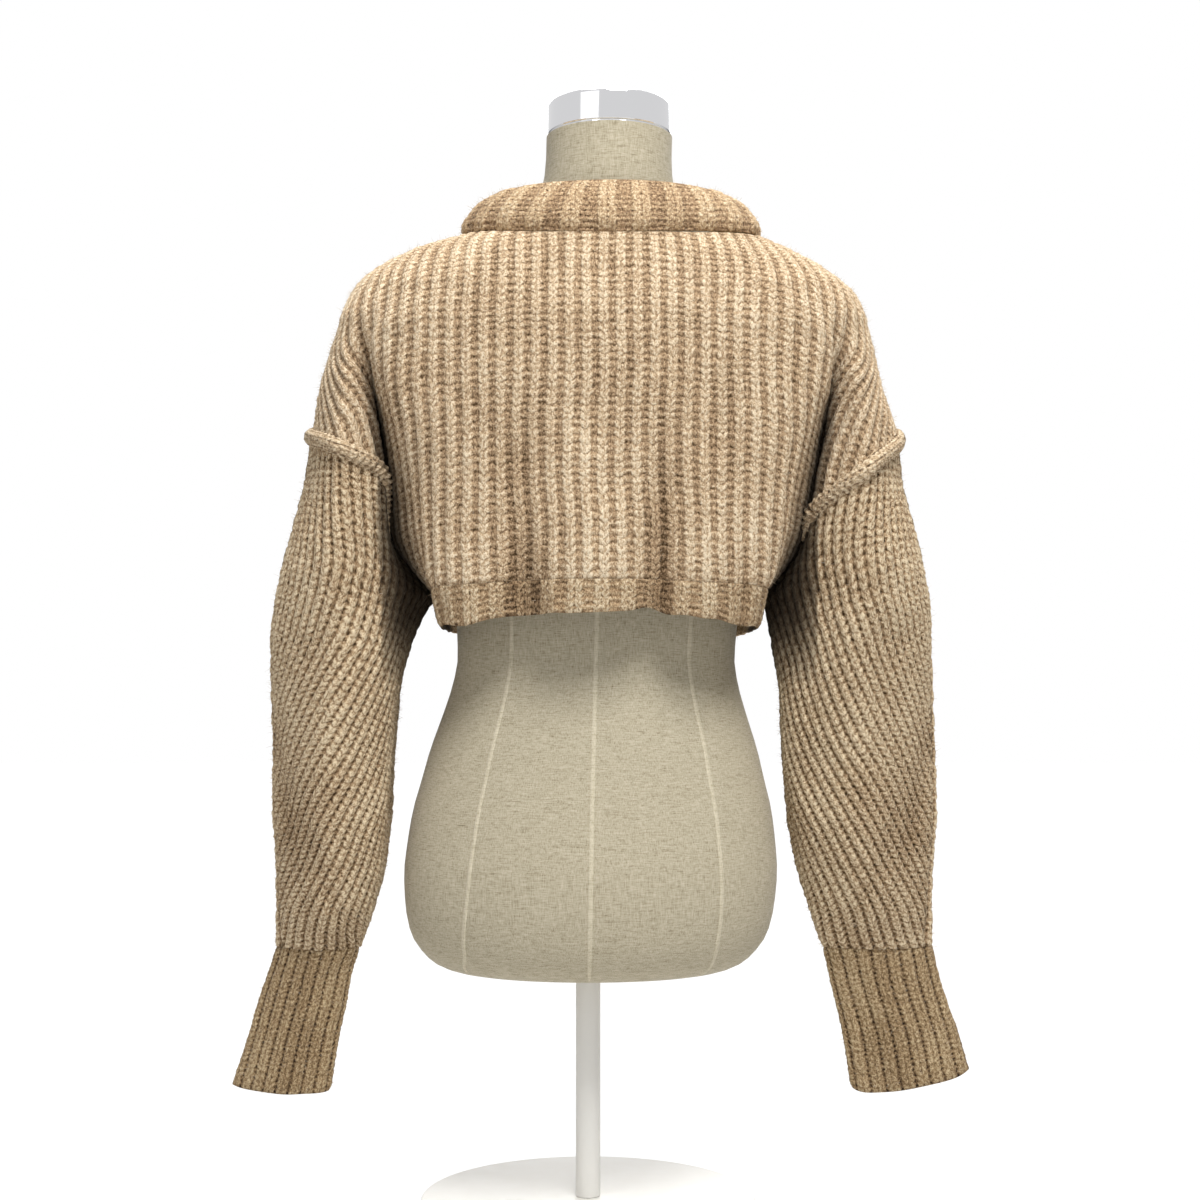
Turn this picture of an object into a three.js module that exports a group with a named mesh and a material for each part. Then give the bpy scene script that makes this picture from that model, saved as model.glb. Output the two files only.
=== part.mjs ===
// Cropped knit sweater with dropped shoulders, on a limbless dress form with a pole stand.
// Millimetres, +Z up. The origin is on the base plate's underside, below the sweater's middle.
// The sweater's back faces -Y and its left is at -X. Cloth is a wall whose outer face is worked
// out from sections of the garment.
import * as THREE from 'three';

// ---------- driving dimensions ----------
const WALL = 4.5; // thickness of the half-cardigan rib
const SEAM_GAP = 0.3; // between two sewn pieces
const HALF_GAP = SEAM_GAP / 2;
const ARMHOLE_TRIM = 0.5; // the sleeve stays this far back from the armhole seam
const WELT_WIDTH = 11; // raised seam round each armhole
const WELT_HEIGHT = 3.6;
const WELT_CLEARANCE = 0.6;

const HEM_EDGE = 517; // heights of the side seam, which the hem band fills
const UNDERARM = 549;
const ARMHOLE_TOP = 692; // where the armhole seam crosses the line of the shoulder
const CUFF_TOP = 233;
const HEM_BACK_EDGE = 528; // hem and band heights at the middle of the back and front
const HEM_BACK_TOP = 556;
const NECK_EDGE = 868; // neck seam at the sides, and at the middle of the back and front
const NECK_BACK = 854;
const NECK_FRONT = 826;
const FRONT_FULLNESS = 1.16; // the front stands further from the middle than the back

const COLLAR_CENTRE = 7;
const COLLAR_RIM = { halfWidth: 104, back: 69, front: 82, heightBack: 905, heightSide: 905, heightFront: 876 };
const COLLAR_BULGE = 7;

const FORM_LEAN = 0.0255; // sideways run of the form for each unit of height
const FORM_UPRIGHT_HEIGHT = 735; // where the leaning axis crosses the part's middle
const FORM_BOTTOM = 210;
const CAP = { bottom: 959.3, top: 989, radius: 55.5, edge: 5 };
const NECK_RADIUS = 56.5;
const POLE_RADIUS = 11;
const BASE = { radius: 150, height: 8, edge: 2 };

// ---------- tables of sections ----------
// A section is the garment's outline at one height. Distances are out from the middle plane.
// ridge: the soft corner of the back. valley: the bottom of the crease between body and sleeve.
// fold, near, outer: the sleeve's inner fold, its nearest point and its outermost line.
const SECTION_COLUMNS = [
  'height', 'mid', 'ridgeX', 'ridgeY', 'valleyX', 'valleyY', 'foldX', 'foldY', 'nearX', 'nearY', 'outerX',
];
const SECTIONS = {
  left: [
    [512, 118, 137, 80, 141, 0, 190, 48, 238, 78, 297],
    [549, 119, 146, 86, 151, 0, 190, 51, 237, 81, 291],
    [565, 120, 149, 88, 165, 10, 191, 53, 236, 83, 288],
    [600, 120, 152, 90, 190, 21, 193, 54, 234, 84, 279],
    [650, 120, 157, 92, 196, 29, 193, 55, 230, 82, 266],
    [692, 119, 171, 93, 198, 38, 198, 58, 228, 79, 260],
    [733, 118, 185, 92, 200, 57, 204, 63, 226, 74, 253],
    [760, 116, 190, 90, 201, 72, 209, 68, 226, 62, 245],
    [787, 113, 170, 97, 190, 84, 208, 71, 226, 50, 236],
    [814, 107, 140, 97, 172, 84, 196, 66, 216, 42, 226],
    [827, 103, 130, 93, 165, 79, 189, 60, 208, 35, 218],
    [841, 99, 118, 87, 150, 72, 174, 53, 191, 29, 200],
    [854.5, 94, 99, 81, 129, 65, 152, 46, 167, 24, 175],
    [868, 88, 75, 71, 97, 57, 113, 40, 123.5, 20.5, 127],
  ],
  right: [
    [512, 118, 130, 80, 134, 0, 183, 48, 236, 78, 294],
    [549, 119, 141, 86, 144, 0, 184, 51, 235, 81, 290],
    [565, 120, 145, 88, 157, 9, 184, 53, 235, 83, 287],
    [600, 120, 152, 90, 180, 21, 184, 54, 232, 84, 280],
    [650, 120, 161, 92, 190, 30, 189, 55, 230, 82, 267],
    [692, 119, 173, 93, 194, 40, 197, 58, 229, 79, 263],
    [733, 118, 185, 92, 198, 59, 202, 63, 225, 74, 250],
    [760, 116, 187, 91, 198, 74, 207, 68, 225, 62, 243],
    [787, 113, 170, 97, 190, 84, 208, 71, 226, 50, 236],
    [814, 107, 140, 97, 172, 84, 197, 66, 217, 42, 227],
    [827, 103, 128, 93, 162, 79, 186, 60, 204, 35, 214],
    [841, 99, 116, 87, 147, 72, 169, 53, 185, 29, 193.5],
    [854.5, 94, 98, 81, 127, 65, 148, 46, 163, 24, 169],
    [868, 88, 83, 71, 107, 57, 126, 40, 137, 20.5, 141],
  ],
};
// The sleeve and cuff below the underarm: inner is the innermost line.
const SLEEVE_COLUMNS = ['height', 'inner', 'foldX', 'foldY', 'nearX', 'nearY', 'outerX'];
const SLEEVES = {
  left: [
    [104, 246, 266, 15, 290, 23, 334],
    [152, 238, 257, 15, 279, 24, 319],
    [179, 232, 250, 16, 272, 25, 311],
    [206, 227, 244, 17, 264, 26, 302],
    [233, 219, 228, 18, 256, 29, 294],
    [247, 214, 221, 22, 252, 39, 292.5],
    [274, 205, 212, 29, 249, 53, 293],
    [314, 196, 204, 35, 246, 62, 293.5],
    [355, 192, 200, 38, 245, 70, 295],
    [409, 188, 197, 40, 243, 73, 296],
    [454, 179, 193, 42, 240, 76, 297.5],
    [503, 164, 191, 47, 238, 77, 297.5],
    [535, 154, 190.5, 50, 238, 80, 293.5],
  ],
  right: [
    [108, 224, 246, 12, 276, 19, 330],
    [152, 217, 238, 12, 268, 20, 320],
    [179, 211, 232, 13, 261, 21, 311],
    [206, 204, 222, 14, 253, 22, 302],
    [233, 198, 208, 15, 248, 24, 297],
    [247, 193, 203, 18, 245, 30, 295.5],
    [274, 184, 197, 24, 242, 43, 295],
    [314, 173, 188, 31, 238, 53, 296.5],
    [355, 166, 182, 36, 235, 60, 298],
    [409, 162, 180, 38, 233, 63, 298],
    [454, 160.5, 178, 40, 232, 68, 296],
    [503, 153, 181, 46, 232, 75, 293.5],
    [535, 147, 183, 50, 236, 80, 292],
  ],
};
// The armhole seam, from the underarm (run 0) to the top of the shoulder (run 1).
// place: where the seam crosses the section at that height.
const SEAM_COLUMNS = ['run', 'place', 'height'];
const ARMHOLE_SEAMS = {
  left: [
    [0, 0.55, UNDERARM], [0.4, 0.55, 608], [0.5, 0.62, 632],
    [0.62, 0.7, 653], [0.8, 0.85, 673], [1, 1, ARMHOLE_TOP],
  ],
  right: [
    [0, 0.55, UNDERARM], [0.3, 0.55, 590], [0.48, 0.62, 607],
    [0.6, 0.7, 621], [0.8, 0.85, 656], [1, 1, ARMHOLE_TOP],
  ],
};
// The dress form: half width, depth to the back and to the front at each height.
const FORM_COLUMNS = ['height', 'halfWidth', 'back', 'front'];
const FORM_SECTIONS = [
  [210, 104, 72, 66], [212, 118, 84, 76], [218, 136, 97, 86], [230, 150, 107, 95],
  [247, 160.5, 113, 100], [274, 166, 117, 103], [300, 167.5, 117, 104], [328, 165, 113, 103],
  [355, 161, 108, 101], [382, 154, 101, 98], [409, 147, 94, 95], [436, 138, 87, 91],
  [463, 129.5, 80, 88], [490, 124.5, 77, 87], [540, 128, 80, 93], [590, 139, 88, 106],
  [640, 148, 96, 120], [690, 153, 101, 127], [730, 162.1, 106, 126], [760, 174.1, 108.1, 120.1],
  [790, 185.1, 103.1, 108.1], [815, 191.1, 94.1, 93.1], [832, 189.1, 84.1, 82.1], [844, 175.1, 76.1, 75.1],
  [854, 147.1, 71.1, 71.1], [864, 113.3, 65.3, 65.3], [878, 82, 58.5, 59], [896, 66, 57.5, 58],
  [915, 59, 57.5, 57.5], [938, NECK_RADIUS, NECK_RADIUS, NECK_RADIUS], [959, NECK_RADIUS, NECK_RADIUS, NECK_RADIUS],
];

// Counts of steps: few, because the walls only need their shape.
const STEPS = { seam: 11, sides: 16, hem: 2, cuff: 3, collar: 3, formAround: 40 };
const SHOULDER_ROWS = [724, 754, 782, 805, 824, 840, 855, NECK_EDGE];
// Rows of a sleeve, closer together towards the armhole.
const SLEEVE_ROWS = [0, 0.13, 0.26, 0.39, 0.51, 0.62, 0.73, 0.83, 0.91, 0.96, 1];
// The share of a body row that lies between the middle and the ridge.
const RIDGE_SHARE = 0.5;

// ---------- curves through table rows ----------
const clamp01 = (value) => Math.min(1, Math.max(0, value));
const mix = (from, to, part) => from + (to - from) * part;
const smooth = (value) => clamp01(value) ** 2 * (3 - 2 * clamp01(value));

function column(rows, names, name) {
  const index = names.indexOf(name);
  return rows.map((row) => row[index]);
}

// A smooth curve through (knots, values) that never overshoots.
function tableCurve(knots, values) {
  const slopes = knots.map((_, i) => {
    if (i === 0 || i === knots.length - 1) return 0;
    const before = (values[i] - values[i - 1]) / (knots[i] - knots[i - 1]);
    const after = (values[i + 1] - values[i]) / (knots[i + 1] - knots[i]);
    return before * after <= 0 ? 0 : (2 * before * after) / (before + after);
  });
  const last = knots.length - 1;
  slopes[0] = (values[1] - values[0]) / (knots[1] - knots[0]);
  slopes[last] = (values[last] - values[last - 1]) / (knots[last] - knots[last - 1]);
  return (at) => {
    let i = 0;
    while (i < last - 1 && at > knots[i + 1]) i += 1;
    return hermite(knots[i], knots[i + 1], values[i], values[i + 1], slopes[i], slopes[i + 1], at);
  };
}

function hermite(start, end, from, to, slopeFrom, slopeTo, at) {
  const span = end - start;
  const t = clamp01((at - start) / span);
  const rest = 1 - t;
  return (1 + 2 * t) * rest * rest * from + t * rest * rest * span * slopeFrom
    + t * t * (3 - 2 * t) * to - t * t * rest * span * slopeTo;
}

const bodyCurves = {};
const sleeveCurves = {};
const seamCurves = {};
for (const side of ['left', 'right']) {
  const heights = column(SECTIONS[side], SECTION_COLUMNS, 'height');
  bodyCurves[side] = {};
  for (const name of SECTION_COLUMNS.slice(1)) {
    bodyCurves[side][name] = tableCurve(heights, column(SECTIONS[side], SECTION_COLUMNS, name));
  }
  // Above the underarm the sleeve follows the same sections as the body.
  const upper = SECTIONS[side].filter((row) => row[0] >= UNDERARM);
  const sleeveHeights = [...column(SLEEVES[side], SLEEVE_COLUMNS, 'height'), ...upper.map((row) => row[0])];
  sleeveCurves[side] = {};
  for (const name of SLEEVE_COLUMNS.slice(1)) {
    const upperName = name === 'inner' ? 'valleyX' : name;
    const values = [...column(SLEEVES[side], SLEEVE_COLUMNS, name), ...column(upper, SECTION_COLUMNS, upperName)];
    sleeveCurves[side][name] = tableCurve(sleeveHeights, values);
  }
  const runs = column(ARMHOLE_SEAMS[side], SEAM_COLUMNS, 'run');
  seamCurves[side] = {
    place: tableCurve(runs, column(ARMHOLE_SEAMS[side], SEAM_COLUMNS, 'place')),
    height: tableCurve(runs, column(ARMHOLE_SEAMS[side], SEAM_COLUMNS, 'height')),
  };
}

// ---------- one section of the garment ----------
const PLACES = { second: 0.2, ridge: 0.4, valley: 0.55, fold: 0.7, near: 0.85, outer: 1 };

// place runs from 0 at the middle of the back over 1 at the outermost line to 2 at the middle
// of the front. part is 'body' or 'sleeve', which differ at the crease and below the underarm.
function sectionPoint(side, part, place, height) {
  const body = bodyCurves[side];
  const sleeve = sleeveCurves[side];
  const front = place > 1;
  const along = front ? 2 - place : place;
  const depthScale = front ? FRONT_FULLNESS : 1;
  const get = (name) => body[name](height);
  const sleeveGet = (name) => sleeve[name](height);
  const lobe = part === 'sleeve' ? sleeveGet : get;
  const valleyX = part === 'sleeve' && height < UNDERARM ? sleeveGet('inner') : get('valleyX');
  const valleyY = height < UNDERARM ? 0 : get('valleyY');
  // The upper rows are one smooth dome, so the front's extra depth reaches further round.
  const domeScale = mix(1, depthScale, smooth((height - 760) / 90));
  const points = [
    { at: 0, x: 0, y: get('mid') * depthScale },
    { at: PLACES.second, x: get('ridgeX') * 0.52, y: mix(get('ridgeY'), get('mid'), 0.86) * depthScale },
    { at: PLACES.ridge, x: get('ridgeX'), y: get('ridgeY') * depthScale },
    { at: PLACES.valley, x: valleyX, y: valleyY * domeScale },
    { at: PLACES.fold, x: lobe('foldX'), y: lobe('foldY') * domeScale },
    { at: PLACES.near, x: lobe('nearX'), y: lobe('nearY') * domeScale },
    { at: PLACES.outer, x: lobe('outerX'), y: 0 },
  ];
  const crease = 1 - smooth((height - 590) / 80);
  const upright = 1 - smooth(part === 'body' ? (height - UNDERARM) / 50 : (height - 470) / 80);
  let i = 0;
  while (i < points.length - 2 && along > points[i + 1].at) i += 1;
  const start = pointSlope(points, i, side, height, crease, upright, 'after');
  const end = pointSlope(points, i + 1, side, height, crease, upright, 'before');
  const [from, to] = [points[i], points[i + 1]];
  const x = hermite(from.at, to.at, from.x, to.x, start.x, end.x, along);
  const y = hermite(from.at, to.at, from.y, to.y, start.y, end.y, along);
  return { x, y: front ? y : -y };
}

// How fast the section runs past its point number i, on the side that is asked for.
function pointSlope(points, i, side, height, crease, upright, which) {
  const here = points[i];
  if (i === 0) {
    const other = bodyCurves[side === 'left' ? 'right' : 'left'].ridgeX(height) * 0.52;
    return { x: (points[1].x + other) / (2 * PLACES.second), y: 0 };
  }
  const before = points[i - 1];
  const spanBefore = here.at - before.at;
  if (i === points.length - 1) {
    return { x: 0, y: -Math.abs(before.y) / spanBefore * 1.25 };
  }
  const after = points[i + 1];
  const spanAfter = after.at - here.at;
  const slope = {};
  for (const axis of ['x', 'y']) {
    const rateBefore = (here[axis] - before[axis]) / spanBefore;
    const rateAfter = (after[axis] - here[axis]) / spanAfter;
    slope[axis] = (rateBefore * spanAfter + rateAfter * spanBefore) / (spanBefore + spanAfter);
    if (here.at === PLACES.valley) {
      slope[axis] = mix(slope[axis], which === 'before' ? rateBefore : rateAfter, crease);
    }
  }
  if (here.at === PLACES.valley) {
    const neighbour = which === 'before' ? before : after;
    const reach = Math.hypot(here.x - neighbour.x, here.y - neighbour.y);
    const upY = (which === 'before' ? -1 : 1) * (reach / (which === 'before' ? spanBefore : spanAfter));
    slope.x = mix(slope.x, 0, upright);
    slope.y = mix(slope.y, upY, upright);
  }
  return slope;
}

const sign = (side) => (side === 'left' ? -1 : 1);

function surfacePoint(side, part, place, height) {
  const flat = sectionPoint(side, part, place, height);
  return new THREE.Vector3(sign(side) * flat.x, flat.y, height);
}

// The outward direction of the cloth, from two short steps on the surface.
function surfaceNormal(side, part, place, height) {
  const step = 0.004;
  const rise = 1.5;
  let [low, high] = [place - step, place + step];
  const crease = PLACES.valley;
  // Each side of the crease keeps its own direction.
  if (part === 'body' && height < 640) {
    if (place <= crease) high = Math.min(high, crease);
    if (place >= 2 - crease) low = Math.max(low, 2 - crease);
  }
  if (part === 'sleeve' && height < 640) {
    if (place <= 1) low = Math.max(low, crease);
    if (place > 1) high = Math.min(high, 2 - crease);
  }
  const around = surfacePoint(side, part, high, height).sub(surfacePoint(side, part, low, height));
  const top = Math.min(height + rise, NECK_EDGE);
  const bottom = Math.max(height - rise, SLEEVES[side][0][0]);
  const up = surfacePoint(side, part, place, top).sub(surfacePoint(side, part, place, bottom));
  const normal = around.cross(up).normalize();
  return side === 'left' ? normal.negate() : normal;
}

// ---------- closed walls from grids ----------
// rows: a grid of { point, normal } on the outer face. Each edge is drawn back by half of the
// seam gap or by its own trim, then the inner face is one wall thickness behind. closed: the row
// joins itself. flip: the grid runs the other way round.
function wallMesh(name, rows, material, { closed = false, bottom = HALF_GAP, top = HALF_GAP, flip = false } = {}) {
  const count = rows[0].length;
  const grid = rows.map((row) => row.map((cell) => ({ point: cell.point.clone(), normal: cell.normal })));
  const pull = (cell, neighbour, by) => {
    const away = neighbour.point.clone().sub(cell.point);
    if (away.length() > 1e-6) cell.point.add(away.setLength(by));
  };
  const last = rows.length - 1;
  for (let j = 0; j < count; j += 1) {
    pull(grid[0][j], rows[1][j], bottom);
    pull(grid[last][j], rows[last - 1][j], top);
  }
  if (!closed) {
    for (let i = 0; i <= last; i += 1) {
      pull(grid[i][0], rows[i][1], HALF_GAP);
      pull(grid[i][count - 1], rows[i][count - 2], HALF_GAP);
    }
  }
  const positions = [];
  const indexOf = new Map();
  const vertex = (point) => {
    const key = point.toArray().map((value) => Math.round(value * 2000)).join();
    if (!indexOf.has(key)) {
      indexOf.set(key, positions.length / 3);
      positions.push(...point.toArray());
    }
    return indexOf.get(key);
  };
  const outer = grid.map((row) => row.map((cell) => vertex(cell.point)));
  const inner = grid.map((row) => row.map((cell) => vertex(
    cell.point.clone().addScaledVector(cell.normal, -WALL),
  )));
  const triangles = [];
  const at = (index, axis) => positions[index * 3 + axis];
  const face = (...corners) => {
    const loop = flip ? corners.reverse() : corners;
    // The shorter diagonal keeps a skewed cell flat.
    const length = (from, to) => Math.hypot(...[0, 1, 2].map((k) => at(loop[from], k) - at(loop[to], k)));
    const split = length(0, 2) <= length(1, 3) ? [[0, 1, 2], [0, 2, 3]] : [[0, 1, 3], [1, 2, 3]];
    for (const [a, b, c] of split) {
      const ids = [loop[a], loop[b], loop[c]];
      if (new Set(ids).size === 3) triangles.push(...ids);
    }
  };
  const spans = closed ? count : count - 1;
  for (let i = 0; i < last; i += 1) {
    for (let j = 0; j < spans; j += 1) {
      const k = (j + 1) % count;
      face(outer[i][j], outer[i][k], outer[i + 1][k], outer[i + 1][j]);
      face(inner[i][j], inner[i + 1][j], inner[i + 1][k], inner[i][k]);
    }
    if (!closed) {
      const end = count - 1;
      face(outer[i][0], outer[i + 1][0], inner[i + 1][0], inner[i][0]);
      face(outer[i][end], inner[i][end], inner[i + 1][end], outer[i + 1][end]);
    }
  }
  for (let j = 0; j < spans; j += 1) {
    const k = (j + 1) % count;
    face(outer[0][j], inner[0][j], inner[0][k], outer[0][k]);
    face(outer[last][j], outer[last][k], inner[last][k], inner[last][j]);
  }
  return meshFrom(name, positions, triangles, material);
}

function meshFrom(name, positions, triangles, material) {
  const geometry = new THREE.BufferGeometry();
  geometry.setAttribute('position', new THREE.Float32BufferAttribute(positions, 3));
  geometry.setIndex(triangles);
  geometry.computeVertexNormals();
  const mesh = new THREE.Mesh(geometry, material);
  mesh.name = name;
  return mesh;
}

// ---------- the garment's pieces ----------
const evenly = (count, from, to) => Array.from({ length: count + 1 }, (_, i) => mix(from, to, i / count));

// Where a step of a body row lies on the section, with one step always on the ridge.
function bodyPlace(part, endPlace) {
  if (part < RIDGE_SHARE) return PLACES.ridge * (part / RIDGE_SHARE);
  return mix(PLACES.ridge, endPlace, (part - RIDGE_SHARE) / (1 - RIDGE_SHARE));
}

// Rows of a body piece, from low to high: where each ends at the sides and at the middle.
function bodyRow(side, face, edgeHeight, midHeight, endPlace) {
  return evenly(STEPS.sides, 0, 1).map((part) => {
    const along = bodyPlace(part, endPlace);
    const place = face === 'back' ? along : 2 - along;
    const point = surfacePoint(side, 'body', place, edgeHeight);
    point.z += (midHeight - edgeHeight) * (1 - smooth(along / endPlace));
    return { point, normal: surfaceNormal(side, 'body', place, edgeHeight) };
  });
}

function fullRow(face, left, right, midHeight) {
  const leftRow = bodyRow('left', face, left.height, midHeight, left.place);
  const rightRow = bodyRow('right', face, right.height, midHeight, right.place);
  return [...leftRow.reverse(), ...rightRow.slice(1)];
}

const seamAt = (side, run) => ({
  place: seamCurves[side].place(run),
  height: seamCurves[side].height(run),
});
const sideSeamAt = (height) => ({ place: PLACES.valley, height });

function bodyPanel(name, face, material) {
  const bandTop = face === 'back' ? HEM_BACK_TOP : HEM_BACK_TOP - 2;
  const neckMid = face === 'back' ? NECK_BACK : NECK_FRONT;
  const rows = evenly(STEPS.seam, 0, 1).map((run) => {
    const left = seamAt('left', run);
    const right = seamAt('right', run);
    const shared = (left.height + right.height) / 2;
    return fullRow(face, left, right, mix(bandTop, ARMHOLE_TOP, (shared - UNDERARM) / (ARMHOLE_TOP - UNDERARM)));
  });
  for (const height of SHOULDER_ROWS) {
    const edge = { place: PLACES.outer, height };
    const rise = (height - ARMHOLE_TOP) / (NECK_EDGE - ARMHOLE_TOP);
    rows.push(fullRow(face, edge, edge, height + (neckMid - NECK_EDGE) * rise ** 1.6));
  }
  return wallMesh(name, rows, material, { flip: face === 'front' });
}

function hemBand(name, face, material) {
  const low = face === 'back' ? HEM_BACK_EDGE : HEM_BACK_EDGE - 6;
  const high = face === 'back' ? HEM_BACK_TOP : HEM_BACK_TOP - 2;
  const rows = evenly(STEPS.hem, 0, 1).map((part) => {
    const edge = sideSeamAt(mix(HEM_EDGE, UNDERARM, part));
    return fullRow(face, edge, edge, mix(low, high, part));
  });
  return wallMesh(name, rows, material, { flip: face === 'front', bottom: 0 });
}

// Where each line of the sleeve, named by its run along the armhole, meets the cuff.
const cuffPlace = (run) => mix(PLACES.valley, PLACES.outer, run);

function sleeveRuns() {
  const up = evenly(STEPS.seam, 0, 1).map((run) => ({ run, front: false }));
  const down = evenly(STEPS.seam, 0, 1).slice(0, -1).reverse().map((run) => ({ run, front: true }));
  return [...up, ...down];
}

function sleeveCell(side, { run, front }, part) {
  const top = seamAt(side, run);
  const place = mix(cuffPlace(run), top.place, smooth(part));
  const height = mix(CUFF_TOP, top.height, part);
  const around = front ? 2 - place : place;
  return {
    point: surfacePoint(side, 'sleeve', around, height),
    normal: surfaceNormal(side, 'sleeve', around, height),
  };
}

function sleeve(name, side, material) {
  const rows = SLEEVE_ROWS.map((part) => sleeveRuns().map((line) => sleeveCell(side, line, part)));
  return wallMesh(name, rows, material, { flip: side === 'left', top: ARMHOLE_TRIM });
}

function cuff(name, side, material) {
  const end = SLEEVES[side][0][0];
  const lines = sleeveRuns().slice(0, -1);
  const middle = (SLEEVES[side][0][1] + SLEEVES[side][0][6]) / 2;
  const slant = side === 'left' ? 0.07 : 0.17;
  const rows = evenly(STEPS.cuff, 0, 1).map((part) => lines.map(({ run, front }) => {
    const height = mix(end, CUFF_TOP, part);
    const place = front ? 2 - cuffPlace(run) : cuffPlace(run);
    const point = surfacePoint(side, 'sleeve', place, height);
    point.z += slant * (Math.abs(point.x) - middle) * (1 - part) ** 2;
    return { point, normal: surfaceNormal(side, 'sleeve', place, height) };
  }));
  return wallMesh(name, rows, material, { closed: true, flip: side === 'left', bottom: 0 });
}

// The raised seam lies on the sleeve, just below the armhole edge.
function armholeWelt(name, side, material) {
  const runs = sleeveRuns().filter(({ run }) => run > 0.6);
  const profile = [
    { down: 0.6, up: 0 }, { down: WELT_WIDTH, up: 0 }, { down: WELT_WIDTH * 0.85, up: WELT_HEIGHT * 0.8 },
    { down: WELT_WIDTH * 0.5, up: WELT_HEIGHT }, { down: WELT_WIDTH * 0.12, up: WELT_HEIGHT * 0.7 },
  ];
  const positions = [];
  for (const line of runs) {
    const top = sleeveCell(side, line, 1);
    const below = sleeveCell(side, line, 0.97);
    const down = below.point.clone().sub(top.point).normalize();
    for (const { down: along, up } of profile) {
      const point = top.point.clone().addScaledVector(down, along);
      positions.push(...point.addScaledVector(top.normal, WELT_CLEARANCE + up).toArray());
    }
  }
  const size = profile.length;
  const triangles = [];
  for (let i = 0; i < runs.length - 1; i += 1) {
    for (let j = 0; j < size; j += 1) {
      const [a, b] = [i * size + j, i * size + ((j + 1) % size)];
      const [c, d] = [a + size, b + size];
      triangles.push(a, b, d, a, d, c);
    }
  }
  const end = (runs.length - 1) * size;
  for (let j = 1; j < size - 1; j += 1) {
    triangles.push(0, j + 1, j);
    triangles.push(end, end + j, end + j + 1);
  }
  if (side === 'right') {
    for (let i = 0; i < triangles.length; i += 3) {
      [triangles[i], triangles[i + 1]] = [triangles[i + 1], triangles[i]];
    }
  }
  return meshFrom(name, positions, triangles, material);
}

function neckBand(name, material) {
  const seamCell = (side, place, face) => {
    const around = face === 'back' ? place : 2 - place;
    const midHeight = face === 'back' ? NECK_BACK : NECK_FRONT;
    const point = surfacePoint(side, 'body', around, NECK_EDGE);
    point.z += (midHeight - NECK_EDGE) * (1 - smooth(place));
    return { point, normal: surfaceNormal(side, 'body', around, NECK_EDGE) };
  };
  const places = evenly(STEPS.sides, 0, 1).map((part) => bodyPlace(part, PLACES.outer));
  const line = [
    ...places.slice().reverse().map((place) => ({ side: 'left', place, face: 'back' })),
    ...places.slice(1).map((place) => ({ side: 'right', place, face: 'back' })),
    ...places.slice(0, -1).reverse().map((place) => ({ side: 'right', place, face: 'front' })),
    ...places.slice(1, -1).map((place) => ({ side: 'left', place, face: 'front' })),
  ];
  const rim = COLLAR_RIM;
  const rows = evenly(STEPS.collar, 0, 1).map((part) => line.map(({ side, place, face }) => {
    const seam = seamCell(side, place, face);
    const angle = place * Math.PI / 2;
    const depth = face === 'back' ? -rim.back : rim.front;
    const midHeight = face === 'back' ? rim.heightBack : rim.heightFront;
    const top = new THREE.Vector3(
      COLLAR_CENTRE + sign(side) * rim.halfWidth * Math.sin(angle),
      depth * Math.cos(angle),
      mix(midHeight, rim.heightSide, smooth(place)),
    );
    const rise = top.clone().sub(seam.point);
    const radial = new THREE.Vector3(sign(side) * Math.sin(angle), Math.sign(depth) * Math.cos(angle), 0);
    const across = new THREE.Vector3(0, 0, 1).cross(radial);
    const outward = across.cross(rise).normalize();
    if (outward.dot(radial) < 0) outward.negate();
    const bulge = COLLAR_BULGE * 4 * part * (1 - part);
    const point = seam.point.clone().lerp(top, part).addScaledVector(outward, bulge);
    const normal = outward.clone().lerp(seam.normal, (1 - part) * 0.5).normalize();
    return { point, normal: part === 0 ? sharedNormal(seam.normal, outward) : normal };
  }));
  return wallMesh(name, rows, material, { closed: true, top: 0 });
}

const sharedNormal = (first, second) => first.clone().add(second).normalize();

// ---------- the dress form and its stand ----------
const formAxis = (height) => FORM_LEAN * (height - FORM_UPRIGHT_HEIGHT);

function formTorso(name, material) {
  const count = STEPS.formAround;
  const positions = [];
  for (const row of FORM_SECTIONS) {
    const at = (column_) => row[FORM_COLUMNS.indexOf(column_)];
    for (let j = 0; j < count; j += 1) {
      const angle = (j / count) * Math.PI * 2;
      const depth = Math.sin(angle) < 0 ? at('back') : at('front');
      positions.push(formAxis(at('height')) + at('halfWidth') * Math.cos(angle), depth * Math.sin(angle), at('height'));
    }
  }
  const bottomMiddle = positions.length / 3;
  const rowsCount = FORM_SECTIONS.length;
  const top = FORM_SECTIONS[rowsCount - 1][0];
  positions.push(formAxis(FORM_BOTTOM), 0, FORM_BOTTOM);
  positions.push(formAxis(top), 0, top);
  const triangles = [];
  for (let i = 0; i < rowsCount - 1; i += 1) {
    for (let j = 0; j < count; j += 1) {
      const k = (j + 1) % count;
      const [a, b, c, d] = [i * count + j, i * count + k, (i + 1) * count + k, (i + 1) * count + j];
      triangles.push(a, b, c, a, c, d);
    }
  }
  const topRow = (rowsCount - 1) * count;
  for (let j = 0; j < count; j += 1) {
    const k = (j + 1) % count;
    triangles.push(bottomMiddle, k, j);
    triangles.push(bottomMiddle + 1, topRow + j, topRow + k);
  }
  return meshFrom(name, positions, triangles, material);
}

// A turned piece from a list of radius and height pairs that starts and ends on the axis.
function turned(name, profile, segments, centreX, material) {
  const geometry = new THREE.LatheGeometry(profile.map(([r, z]) => new THREE.Vector2(r, z)), segments);
  geometry.rotateX(Math.PI / 2);
  geometry.translate(centreX, 0, 0);
  const mesh = new THREE.Mesh(geometry, material);
  mesh.name = name;
  return mesh;
}

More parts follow.
